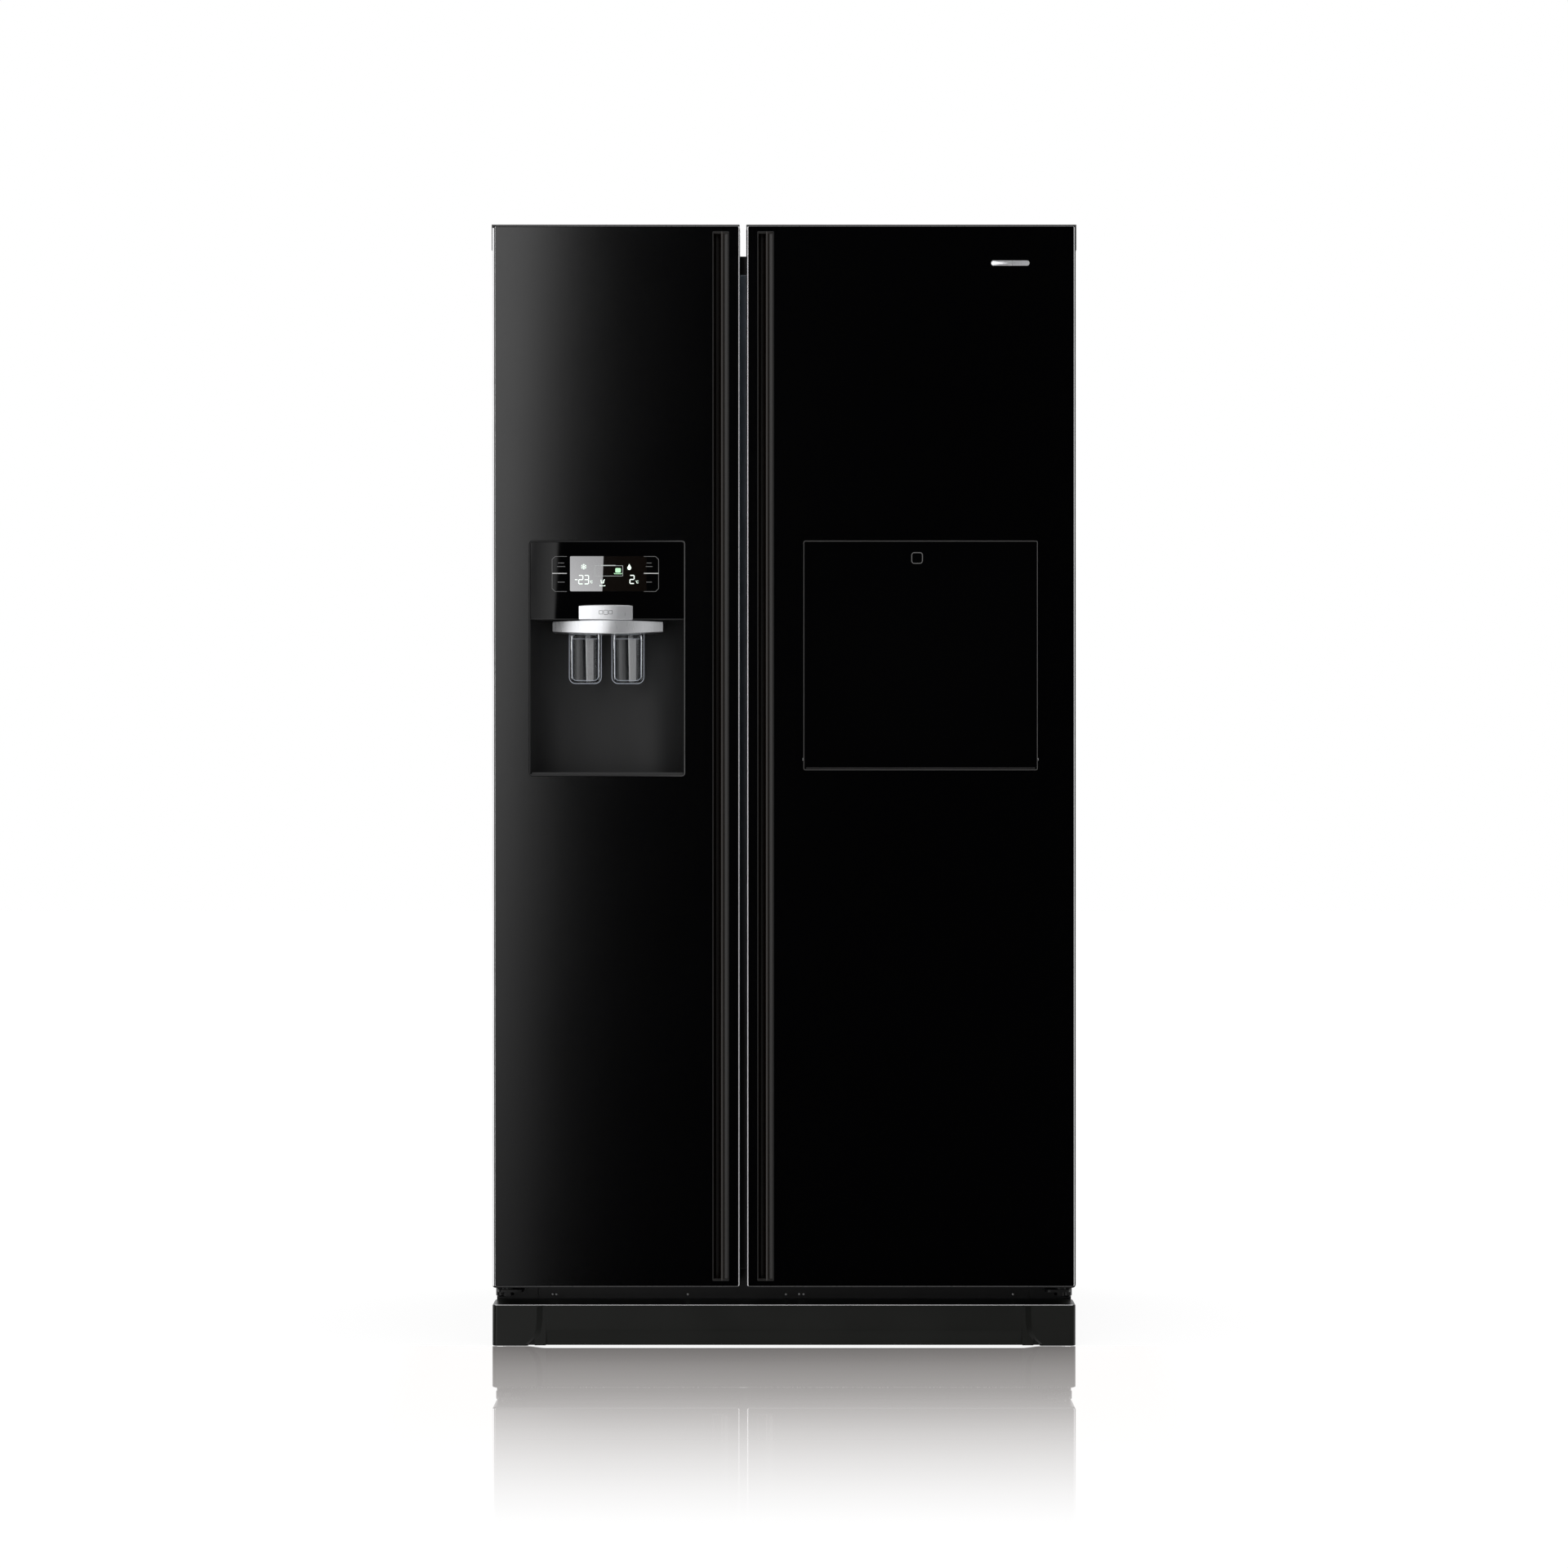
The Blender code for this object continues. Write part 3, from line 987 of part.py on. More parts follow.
def build_interior():
    build_shelf("freezer_shelf_upper", FREEZER_X, 1400.0)
    build_shelf("freezer_shelf_lower", FREEZER_X, 720.0)
    build_shelf("fridge_shelf_upper", FRIDGE_X, 1320.0)
    build_shelf("fridge_shelf_lower", FRIDGE_X, 620.0)
    floor = WALL_BOTTOM + LINER_T + GAP
    build_drawer("freezer_drawer", (-400.0, -103.0), (-150.0, 102.0), (floor, 350.0),
                 clear_plastic("freezer_drawer_mat"))
    build_drawer("crisper_drawer", (-25.0, 400.0), (-150.0, 102.0), (floor, 350.0),
                 clear_plastic("crisper_drawer_mat"))
    build_drawer("ice_bucket", (-394.0, -109.0), (-130.0, 180.0), (1414.0 + GAP, 1560.0),
                 white_plastic("ice_bucket_mat"))


# ---------------------------------------------------------------- assembly

def build_freezer_door():
    door = Door("freezer", -455.0, -69.1, -1, -111.1, -112.0, -134.0, -74.0)
    core = build_core(door, [dispenser_housing_shape(GAP), ice_chute()])
    build_cap(door, core)
    opening = block("Y", (DISP_X[0] - GAP, DISP_X[1] + GAP), (DISP_Z[0] - GAP, DISP_Z[1] + GAP), 5.3,
                    [(PANEL_FRONT - FAR, 0.0), (PANEL_BACK + FAR, 0.0)])
    build_panel(door, core, [opening])
    bulge = block("Y", door.dike, (850.0, 1320.0), 18.0, [(DOOR_REAR - 1.0, 0.0), (DIKE_REAR - 4.0, 1.0),
                                                        (DIKE_REAR, 5.0)])
    build_door_liner(door, core, [bulge], [dispenser_housing_shape(GAP), ice_chute()])
    build_gasket(door, core)
    build_handle(door, core)
    build_bin(door, core, "upper", 1380.0)
    build_bin(door, core, "lower", 560.0)
    build_housing(core)
    build_control_panel(core)
    build_display(core)
    build_canopy(core)
    build_button(core)
    build_lever("ice_lever", core, ICE_LEVER_X)
    build_lever("water_lever", core, WATER_LEVER_X)
    build_drip_tray(core)
    return door


def build_fridge_door():
    door = Door("fridge", -58.9, 455.0, 1, -41.1, -20.0, -4.0, -54.0)
    passage = (PANEL_FRONT, CORE_BACK + FAR)
    core = build_core(door, [bar_opening(-BAR_CLEARANCE, PANEL_FRONT - FAR, BAR_LEDGE),
                             bar_opening(BAR_BORDER, *passage), *bar_pin_sockets()])
    build_cap(door, core)
    build_panel(door, core, [bar_opening(-BAR_CLEARANCE, PANEL_FRONT - FAR, PANEL_BACK + FAR)])
    build_door_liner(door, core, [], [bar_opening(BAR_BORDER, *passage)])
    build_gasket(door, core)
    build_handle(door, core)
    build_bin(door, core, "upper", 1420.0)
    build_bin(door, core, "lower", 480.0)
    bar = build_bar_liner(core)
    build_bar_panel(bar)
    build_bar_gasket(bar)
    return door


def build_all():
    for old in list(bpy.data.objects):
        bpy.data.objects.remove(old, do_unlink=True)
    build_shell()
    build_foam()
    build_liner("freezer_liner", FREEZER_X, (1400.0, 720.0))
    build_liner("fridge_liner", FRIDGE_X, (1320.0, 620.0))
    build_mullion()
    build_back_panel()
    build_base_frame()
    for end, y in WHEEL_Y.items():
        for label, side in (("left", -1), ("right", 1)):
            build_wheel(f"{end}_{label}_roller", side, y)
    for label, side in (("left", -1), ("right", 1)):
        build_foot(f"levelling_foot_{label}", side)
    build_compressor()
    build_condenser()
    build_fan_motor()
    build_fan()
    build_machine_cover()
    build_water_valve()
    build_kick_plate()
    build_interior()
    for door in (build_freezer_door(), build_fridge_door()):
        build_top_hinge(door)
        build_hinge_cover(door)
        build_bottom_hinge(door)


build_all()
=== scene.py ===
"""Looks of the side by side refrigerator: trims, display marks, materials, floor, light and camera.

Lengths in the drawing code are millimetres in the frame of the CAD model: +Z up, front towards -Y.
"""

import math

import bmesh
import bpy
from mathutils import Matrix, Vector


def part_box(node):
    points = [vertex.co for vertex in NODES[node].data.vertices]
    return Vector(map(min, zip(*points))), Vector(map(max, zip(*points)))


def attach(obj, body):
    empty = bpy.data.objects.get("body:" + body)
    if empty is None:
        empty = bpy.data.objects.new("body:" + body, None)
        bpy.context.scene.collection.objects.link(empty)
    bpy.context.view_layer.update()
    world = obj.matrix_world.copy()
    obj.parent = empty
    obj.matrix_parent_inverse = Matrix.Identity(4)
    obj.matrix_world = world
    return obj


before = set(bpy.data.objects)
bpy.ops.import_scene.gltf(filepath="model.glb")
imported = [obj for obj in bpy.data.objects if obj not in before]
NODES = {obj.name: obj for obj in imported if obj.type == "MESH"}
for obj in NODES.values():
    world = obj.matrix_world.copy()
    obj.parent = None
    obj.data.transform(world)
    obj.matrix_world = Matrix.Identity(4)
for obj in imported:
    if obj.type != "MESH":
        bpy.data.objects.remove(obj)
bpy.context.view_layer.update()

MM = 0.001
DOOR_INSET = 1.3                            # where the bright edge of a door panel starts
ROLLED_EDGE = 3.1                           # width of the freezer door's rolled outer edge
DUCT_FRONT = 287.0                          # face of the air ducts inside the compartments
SCREW_LEVEL = 71.5                          # height of the screws below the doors
FRONT_PLANE = -0.365                        # front face of the doors, in metres
CAMERA_DISTANCE = 6.0                       # from the camera to the door fronts, in metres
CAMERA_HEIGHT = 0.8785                      # in metres
VIEW_WIDTH = 2.4456                         # width in view at the door fronts, in metres
FILM_WIDTH = 36.0
FLOOR_REACH = 1.55                          # how far the floor's mirror reaches from the doors, in metres


def span(node):
    """Box of a CAD node in millimetres: ((x, x), (y, y), (z, z))."""
    low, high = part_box(node)
    return [(low[i] / MM, high[i] / MM) for i in range(3)]


# ---------------------------------------------------------------- materials

class Look:
    """One procedural material: a Principled shader and the nodes that vary it over the object."""

    def __init__(self, name, colour, roughness, metallic=0.0, **uniform):
        self.material = bpy.data.materials.new(name)
        self.material.use_nodes = True
        self.tree = self.material.node_tree
        self.shader = self.tree.nodes["Principled BSDF"]
        self.place = self.tree.nodes.new("ShaderNodeTexCoord").outputs["Object"]
        self.bumped = None
        self.set("Base Color", (*colour, 1.0))
        self.set("Roughness", roughness)
        self.set("Metallic", metallic)
        for socket, value in uniform.items():
            self.set(socket.replace("_", " "), value)

    def set(self, socket, value):
        self.shader.inputs[socket].default_value = value

    def feed(self, socket, source):
        self.tree.links.new(source, self.shader.inputs[socket])

    def math(self, operation, a, b=0.0):
        node = self.tree.nodes.new("ShaderNodeMath")
        node.operation = operation
        for socket, value in zip(node.inputs, (a, b)):
            if isinstance(value, (int, float)):
                socket.default_value = value
            else:
                self.tree.links.new(value, socket)
        return node.outputs[0]

    def axis(self, letter):
        """Object coordinate along X, Y or Z, in metres."""
        node = self.tree.nodes.new("ShaderNodeSeparateXYZ")
        self.tree.links.new(self.place, node.inputs[0])
        return node.outputs[letter]

    def stretched(self, stretch):
        if stretch is None:
            return self.place
        node = self.tree.nodes.new("ShaderNodeMapping")
        node.inputs["Scale"].default_value = stretch
        self.tree.links.new(self.place, node.inputs["Vector"])
        return node.outputs[0]

    def noise(self, scale, detail=2.0, stretch=None, distortion=0.0):
        node = self.tree.nodes.new("ShaderNodeTexNoise")
        node.inputs["Scale"].default_value = scale
        node.inputs["Detail"].default_value = detail
        node.inputs["Distortion"].default_value = distortion
        self.tree.links.new(self.stretched(stretch), node.inputs["Vector"])
        return node.outputs[0]

    def cells(self, scale, feature="F1", stretch=None):
        node = self.tree.nodes.new("ShaderNodeTexVoronoi")
        node.feature = feature
        node.inputs["Scale"].default_value = scale
        self.tree.links.new(self.stretched(stretch), node.inputs["Vector"])
        return node

    def spread(self, source, low, high, start=0.3, end=0.7):
        """Maps source from start..end to low..high."""
        node = self.tree.nodes.new("ShaderNodeMapRange")
        self.tree.links.new(source, node.inputs["Value"])
        for socket, value in (("From Min", start), ("From Max", end), ("To Min", low), ("To Max", high)):
            node.inputs[socket].default_value = value
        return node.outputs[0]

    def tint(self, factor, first, second):
        """Colour between first and second by factor."""
        node = self.tree.nodes.new("ShaderNodeMix")
        node.data_type = "RGBA"
        self.tree.links.new(factor, node.inputs[0])
        for socket, colour in ((node.inputs[6], first), (node.inputs[7], second)):
            if isinstance(colour, tuple):
                socket.default_value = (*colour, 1.0)
            else:
                self.tree.links.new(colour, socket)
        return node.outputs[2]

    def relief(self, height, distance, strength=1.0):
        """Raises the surface by height times distance, in metres, on top of any relief before."""
        node = self.tree.nodes.new("ShaderNodeBump")
        node.inputs["Distance"].default_value = distance
        node.inputs["Strength"].default_value = strength
        self.tree.links.new(height, node.inputs["Height"])
        if self.bumped is not None:
            self.tree.links.new(self.bumped, node.inputs["Normal"])
        self.bumped = node.outputs[0]
        self.feed("Normal", self.bumped)

    def shade(self, factor, first, second):
        self.feed("Base Color", self.tint(factor, first, second))

    def polish(self, factor, low, high, start=0.3, end=0.7):
        self.feed("Roughness", self.spread(factor, low, high, start, end))


def door_enamel():
    """Deep black enamel of the door fronts, close to a mirror, with the fine grain of its film."""
    look = Look("door_enamel", (0.0006, 0.0006, 0.0007), 0.073, IOR=1.41)
    grain = look.noise(1100.0, 2.0)
    cloud = look.noise(5.0, 3.0)
    mixed = look.math("ADD", look.spread(grain, 0.056, 0.088), look.spread(cloud, -0.003, 0.004))
    look.feed("Roughness", mixed)
    look.shade(look.spread(grain, 0.0, 1.0), (0.0003, 0.0003, 0.0004), (0.0010, 0.0010, 0.0012))
    return look.material


def black_glass():
    """Back-painted glass with faint wiping marks."""
    look = Look("black_glass", (0.0010, 0.0010, 0.0011), 0.015, IOR=1.5)
    wipe = look.noise(14.0, 4.0, (1.0, 1.0, 0.35), 1.5)
    look.polish(wipe, 0.008, 0.024)
    look.shade(look.noise(3.0, 2.0), (0.0007, 0.0007, 0.0008), (0.0014, 0.0014, 0.0016))
    return look.material


def painted_steel():
    """Satin black paint over steel, with its orange peel and a little dust."""
    look = Look("painted_steel", (0.003, 0.003, 0.0033), 0.3, IOR=1.34)
    peel = look.noise(420.0, 2.0)
    look.relief(peel, 0.00003, 0.3)
    dust = look.noise(60.0, 5.0)
    look.polish(dust, 0.285, 0.315)
    look.shade(dust, (0.0026, 0.0026, 0.0029), (0.0040, 0.0040, 0.0044))
    return look.material


def handle_plastic():
    """Brown-black glossy plastic of the handle channels, drawn along its length, with painted shade: darker
    deeper in the channel, lighter at its front.
    """
    look = Look("handle_plastic", (0.006, 0.004, 0.003), 0.2, IOR=1.42)
    draw = look.noise(260.0, 3.0, (1.0, 1.0, 0.01))
    look.polish(draw, 0.15, 0.26)
    # painted shade: the colour darkens further into the channel and lightens towards its front
    painted_channel_shade = look.spread(look.axis("Y"), 1.0, 0.0, -0.3664, -0.3625)
    look.shade(painted_channel_shade, (0.0030, 0.0014, 0.0006), (0.013, 0.0105, 0.009))
    look.relief(draw, 0.00001, 0.5)
    return look.material


def outline_grey(name, level):
    """Matt grey line around a panel; around the handles and the push mark it is a moulding line, around the
    home bar door a painted highlight on the edge of its gap.
    """
    look = Look(name, (level, level * 0.97, level * 0.96), 0.45, IOR=1.36)
    wear_and_sheen = look.noise(120.0, 3.0)
    look.shade(wear_and_sheen, (level * 0.85, level * 0.83, level * 0.82), (level * 1.15, level * 1.12, level * 1.1))
    look.polish(wear_and_sheen, 0.38, 0.55)
    return look.material


def painted_sheen_outline(name, x, low, high):
    """Matt grey moulding line, painted lighter from the left side of the dispenser to the right: a painted
    highlight on its right part, varied by a little noise.
    """
    look = Look(name, (high, high, high), 0.45, IOR=1.36)
    # painted highlight: the colour climbs with the fourth power of X towards the right, varied by a little
    # noise
    across = look.math("POWER", look.spread(look.axis("X"), 0.0, 1.0, x[0] * MM, x[1] * MM), 4.0)
    wear_and_sheen = look.math("MULTIPLY", across, look.spread(look.noise(120.0, 3.0), 0.85, 1.1))
    look.shade(wear_and_sheen, (low, low, low), (high, high, high))
    look.set("Specular IOR Level", 0.2)
    look.polish(look.noise(90.0, 3.0), 0.38, 0.55)
    return look.material


def edge_metal(name, level, roughness):
    """Metal edge of a door panel with fine drawing lines along it."""
    look = Look(name, (level, level, level * 1.01), roughness, 1.0)
    lines = look.noise(700.0, 2.0, (1.0, 1.0, 0.02))
    look.polish(lines, roughness * 0.8, roughness * 1.25)
    look.shade(lines, (level * 0.93, level * 0.93, level * 0.94), (level, level, level * 1.01))
    return look.material


def brushed_silver():
    """Silver lacquer with vertical brushing."""
    look = Look("brushed_silver", (0.74, 0.75, 0.77), 0.3, 1.0)
    lines = look.noise(900.0, 3.0, (1.0, 1.0, 0.03))
    look.polish(lines, 0.27, 0.32)
    look.shade(look.math("MULTIPLY", lines, look.noise(300.0, 3.0)), (0.77, 0.78, 0.80), (0.71, 0.715, 0.73))
    look.relief(lines, 0.000002, 0.3)
    return look.material


def dispenser_plastic():
    """Dark grey satin plastic of the dispenser, finely spark-eroded."""
    look = Look("dispenser_plastic", (0.018, 0.018, 0.0185), 0.5, IOR=1.38)
    grain = look.noise(1300.0, 2.0)
    look.relief(grain, 0.00002, 0.4)
    cloud = look.noise(7.0, 3.0)
    look.polish(cloud, 0.46, 0.56)
    look.shade(cloud, (0.017, 0.017, 0.0175), (0.020, 0.020, 0.0205))
    return look.material


def moulded(name, dark, light, roughness, grain_scale=800.0, relief=0.00003):
    """Moulded plastic with fine grain and slight flow marks."""
    look = Look(name, light, roughness, IOR=1.49)
    grain = look.noise(grain_scale, 2.0)
    look.relief(grain, relief, 0.6)
    flow = look.noise(8.0, 4.0, None, 0.6)
    look.polish(flow, roughness * 0.88, roughness * 1.15)
    look.shade(flow, dark, light)
    return look.material


def clear_plastic(name, colour, roughness):
    """Clear moulded plastic with faint flow lines."""
    look = Look(name, colour, roughness, IOR=1.49, Transmission_Weight=1.0)
    flow = look.noise(30.0, 3.0, None, 1.0)
    look.polish(flow, roughness * 0.6, roughness * 1.6)
    look.relief(flow, 0.00004, 0.4)
    return look.material


def lever_plastic():
    """Thick clear plastic of the levers, highly polished, with a faint blue body."""
    look = Look("lever_plastic", (0.94, 0.97, 1.0), 0.04, IOR=1.75, Transmission_Weight=1.0)
    look.set("Specular IOR Level", 0.75)
    flow = look.noise(30.0, 3.0, None, 1.0)
    look.polish(flow, 0.03, 0.07)
    look.relief(flow, 0.00003, 0.3)
    return look.material


def shelf_glass():
    """Safety glass with a slightly green body and faint smears."""
    look = Look("shelf_glass", (0.90, 0.97, 0.94), 0.03, IOR=1.5, Transmission_Weight=0.92)
    smear = look.noise(12.0, 4.0, None, 1.2)
    look.polish(smear, 0.02, 0.07)
    look.shade(smear, (0.86, 0.96, 0.92), (0.92, 0.98, 0.95))
    return look.material


def rubber():
    """Dark grey gasket rubber, matt with a faint bloom."""
    look = Look("gasket_rubber", (0.045, 0.045, 0.048), 0.7, IOR=1.5)
    bloom = look.noise(60.0, 4.0)
    look.shade(bloom, (0.035, 0.035, 0.038), (0.065, 0.065, 0.068))
    look.polish(bloom, 0.62, 0.8)
    look.relief(look.noise(600.0, 2.0), 0.00003, 0.5)
    return look.material


def zinc(name, level, spangle_scale):
    """Zinc-coated steel with crystal spangle."""
    look = Look(name, (level, level, level * 1.02), 0.4, 0.9)
    crystals = look.cells(spangle_scale)
    grey = look.tree.nodes.new("ShaderNodeRGBToBW")
    look.tree.links.new(crystals.outputs["Color"], grey.inputs[0])
    look.shade(grey.outputs[0], (level * 0.72, level * 0.73, level * 0.75), (level, level, level * 1.02))
    look.polish(grey.outputs[0], 0.3, 0.52, 0.2, 0.8)
    look.relief(look.noise(300.0, 3.0), 0.00003, 0.4)
    return look.material


def bright_steel():
    """Turned and plated steel of hinges, pins and screws."""
    look = Look("bright_steel", (0.46, 0.46, 0.47), 0.33, 1.0)
    wear_and_sheen = look.noise(180.0, 4.0)
    look.polish(wear_and_sheen, 0.24, 0.46)
    look.shade(wear_and_sheen, (0.36, 0.36, 0.37), (0.56, 0.56, 0.57))
    look.relief(wear_and_sheen, 0.00003, 0.4)
    return look.material


def mullion_paint():
    """Blue-grey satin paint of the strip between the doors, with painted light: near black at the bottom,
    lighter towards its top.
    """
    look = Look("mullion_paint", (0.05, 0.06, 0.07), 0.34, IOR=1.4)
    # painted light: the colour goes from near black to blue-grey with height, standing for the light on the
    # strip's upper part
    height = look.spread(look.axis("Z"), 0.0, 1.0, 0.5, 1.66)
    painted_light_rise = look.math("MULTIPLY", height, look.spread(look.noise(14.0, 3.0), 0.85, 1.1))
    look.shade(painted_light_rise, (0.006, 0.006, 0.007), (0.26, 0.31, 0.37))
    look.relief(look.noise(500.0, 2.0), 0.00002, 0.5)
    return look.material


def kick_satin():
    """Satin green-black plastic of the kick plate, with fine grain."""
    look = Look("kick_satin", (0.004, 0.0044, 0.0034), 0.34, IOR=1.33)
    grain = look.noise(700.0, 2.0)
    look.relief(grain, 0.00003, 0.5)
    cloud = look.noise(6.0, 3.0)
    look.polish(cloud, 0.30, 0.38)
    look.shade(cloud, (0.0030, 0.0034, 0.0024), (0.0052, 0.0056, 0.0044))
    return look.material


def foam_yellow():
    """Polyurethane foam with its cells."""
    look = Look("foam_yellow", (0.62, 0.50, 0.24), 0.9)
    cell = look.cells(420.0).outputs["Distance"]
    look.shade(cell, (0.68, 0.56, 0.29), (0.52, 0.40, 0.17))
    look.relief(cell, 0.0004, 0.6)
    return look.material


def compressor_enamel():
    """Black stove enamel, slightly dusty."""
    look = Look("compressor_enamel", (0.016, 0.016, 0.017), 0.28, IOR=1.5)
    dust = look.noise(40.0, 5.0)
    look.shade(dust, (0.012, 0.012, 0.013), (0.045, 0.043, 0.040))
    look.polish(dust, 0.2, 0.5)
    look.relief(look.noise(250.0, 3.0), 0.00005, 0.5)
    return look.material


def display_screen():
    """Dark display behind glass; its left part glows by emission as a painted reflection, with a slightly
    leaning edge and fading along a diagonal.
    """
    x, _, z = span("display_window")
    look = Look("display_screen", (0.003, 0.003, 0.002), 0.05, IOR=1.5)
    cross, height = look.axis("X"), look.axis("Z")
    painted_light_rise = look.spread(height, 0.0, 1.0, z[0] * MM, z[1] * MM)
    glare_border = look.math("ADD", look.math("MULTIPLY", painted_light_rise, 0.002), (x[0] + 50.2) * MM)
    # painted reflection: the left part of the window, up to a slightly leaning edge, glows by emission
    painted_glare_mask = look.spread(look.math("SUBTRACT", glare_border, cross), 0.0, 1.0, -0.0001, 0.0001)
    diagonal = look.math("ADD", cross, height)
    glare_sweep = look.spread(diagonal, 1.0, 0.0, (x[0] + z[0]) * MM, (x[0] + z[1] + 52.0) * MM)
    cloud = look.spread(look.noise(600.0, 2.0), 0.30, 0.34)
    glow = look.math("ADD", look.math("MULTIPLY", glare_sweep, 0.16), cloud)
    look.feed("Emission Strength", look.math("MULTIPLY", painted_glare_mask, glow))
    look.set("Emission Color", (1.0, 1.0, 1.02, 1.0))
    look.shade(look.noise(900.0, 1.0), (0.002, 0.0015, 0.001), (0.006, 0.004, 0.003))
    return look.material


def lamp_ink(name, colour, strength):
    """Lit mark of the display: emissive, with a little unevenness like a printed lamp."""
    look = Look(name, tuple(0.5 * c for c in colour), 0.4)
    look.set("Emission Color", (*colour, 1.0))
    look.feed("Emission Strength", look.spread(look.noise(900.0, 2.0), strength * 0.85, strength * 1.1))
    return look.material


def printed_ink(name, level):
    """Grey print on glass."""
    look = Look(name, (level, level, level), 0.5)
    look.shade(look.noise(1500.0, 2.0), (level * 0.8,) * 3, (level * 1.1,) * 3)
    look.polish(look.noise(400.0, 2.0), 0.4, 0.6)
    return look.material


# ---------------------------------------------------------------- shapes

def rounded(x, z, radius, inset=0.0, steps=6):
    """Rounded rectangle in the front plane, counter-clockwise, shrunk by inset."""
    radius = max(radius - inset, 0.15)
    x = (x[0] + inset, x[1] - inset)
    z = (z[0] + inset, z[1] - inset)
    corners = [(x[1] - radius, z[1] - radius, 0), (x[0] + radius, z[1] - radius, 90),
               (x[0] + radius, z[0] + radius, 180), (x[1] - radius, z[0] + radius, 270)]
    points = []
    for cx, cz, start in corners:
        for k in range(steps + 1):
            turn = math.radians(start + 90.0 * k / steps)
            points.append((cx + radius * math.cos(turn), cz + radius * math.sin(turn)))
    return points


def shrink(outline, distance):
    """Outline moved inwards by distance, for outlines that run counter-clockwise."""
    count, moved = len(outline), []
    for i in range(count):
        before, here, after = (Vector(outline[(i + k) % count]) for k in (-1, 0, 1))
        first, second = (here - before).normalized(), (after - here).normalized()
        normal = Vector((-first.y - second.y, first.x + second.x))
        length = normal.length
        if length < 1e-6:
            moved.append(tuple(here))
            continue
        normal /= length
        cosine = max(0.35, normal.dot(Vector((-first.y, first.x))))
        moved.append(tuple(here + normal * distance / cosine))
    return moved


class Drawing:
    """Collects closed solids into one mesh; every outline lies in the front plane as (x, z)."""

    def __init__(self):
        self.bm = bmesh.new()

    def rings(self, stations, closed=False):
        """Skin through (outline, y) stations; capped at both ends unless the section closes on itself."""
        rows = []
        for outline, y in stations:
            rows.append([self.bm.verts.new(Vector((px, y, pz)) * MM) for px, pz in outline])
        count = len(rows[0])
        pairs = list(zip(rows, rows[1:]))
        if closed:
            pairs.append((rows[-1], rows[0]))
        for low, high in pairs:
            for i in range(count):
                j = (i + 1) % count
                self.bm.faces.new((low[i], low[j], high[j], high[i]))
        if not closed:
            self.bm.faces.new(rows[0])
            self.bm.faces.new(rows[-1])

    def plate(self, outline, front, back, soft=0.15):
        """Solid plate with a chamfered front edge."""
        self.rings([(outline, back), (outline, front + soft), (shrink(outline, soft), front)])

    def ring(self, x, z, radius, section, steps=6):
        """Frame around a rounded rectangle; section is a closed loop of (inset, y)."""
        self.rings([(rounded(x, z, radius, inset, steps), y) for inset, y in section], True)

    def line(self, points, width, front, back, soft=0.1):
        """Stroke of even width along an open polyline."""
        left, right = [], []
        count = len(points)
        for i, point in enumerate(points):
            here = Vector(point)
            before = Vector(points[max(i - 1, 0)])
            after = Vector(points[min(i + 1, count - 1)])
            first = (here - before).normalized() if i else (after - here).normalized()
            second = (after - here).normalized() if i < count - 1 else first
            normal = Vector((-first.y - second.y, first.x + second.x)).normalized()
            cosine = max(0.5, normal.dot(Vector((-first.y, first.x))))
            left.append(tuple(here + normal * 0.5 * width / cosine))
            right.append(tuple(here - normal * 0.5 * width / cosine))
        self.plate(right + left[::-1], front, back, soft)

    def bar(self, first, second):
        """Straight bar between two end sections, each a loop of points in millimetres."""
        ends = [[self.bm.verts.new(Vector(point) * MM) for point in loop] for loop in (first, second)]
        for i in range(len(first)):
            j = (i + 1) % len(first)
            self.bm.faces.new((ends[0][i], ends[0][j], ends[1][j], ends[1][i]))
        for end in ends:
            self.bm.faces.new(end)

    def dot(self, x, z, radius, front, back, soft=0.12, sides=16):
        turns = [2.0 * math.pi * k / sides for k in range(sides)]
        self.plate([(x + radius * math.cos(t), z + radius * math.sin(t)) for t in turns], front, back, soft)

    def finish(self, name, material, body, smooth=0.0):
        """Turns the drawing into a piece that rides on a CAD body."""
        bmesh.ops.recalc_face_normals(self.bm, faces=self.bm.faces)
        mesh = bpy.data.meshes.new(name)
        self.bm.to_mesh(mesh)
        self.bm.free()
        mesh.materials.append(material)
        piece = bpy.data.objects.new(name, mesh)
        bpy.context.scene.collection.objects.link(piece)
        if smooth:
            mesh.shade_smooth()
            mesh.set_sharp_from_angle(angle=math.radians(smooth))
        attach(piece, body)
        return piece


# ---------------------------------------------------------------- doors

def door_edges(side, vertical, horizontal):
    """Bright bevel that frames a door panel; its level runs get a darker copy of the same metal than its
    upright ones, as painted shade.
    """
    x, _, z = span(f"{side}_door_core")
    x = (x[0] + ROLLED_EDGE - DOOR_INSET, x[1] + DOOR_INSET) if side == "freezer" else x
    z = (z[0], span(f"{side}_door_cap")[2][1])
    art = Drawing()
    art.ring(x, z, 5.0, [(DOOR_INSET, -363.5), (DOOR_INSET, -364.0), (DOOR_INSET + 1.3, -365.25),
                         (DOOR_INSET + 1.6, -365.35), (DOOR_INSET + 1.6, -364.8), (DOOR_INSET + 0.8, -363.5)])
    piece = art.finish(f"{side}_door_edge", vertical, f"{side}_door")
    piece.data.materials.append(horizontal)
    # painted shade: faces that look up or down take the darker copy of the edge metal
    for face in piece.data.polygons:
        if abs(face.normal.z) > abs(face.normal.x):
            face.material_index = 1
    return piece


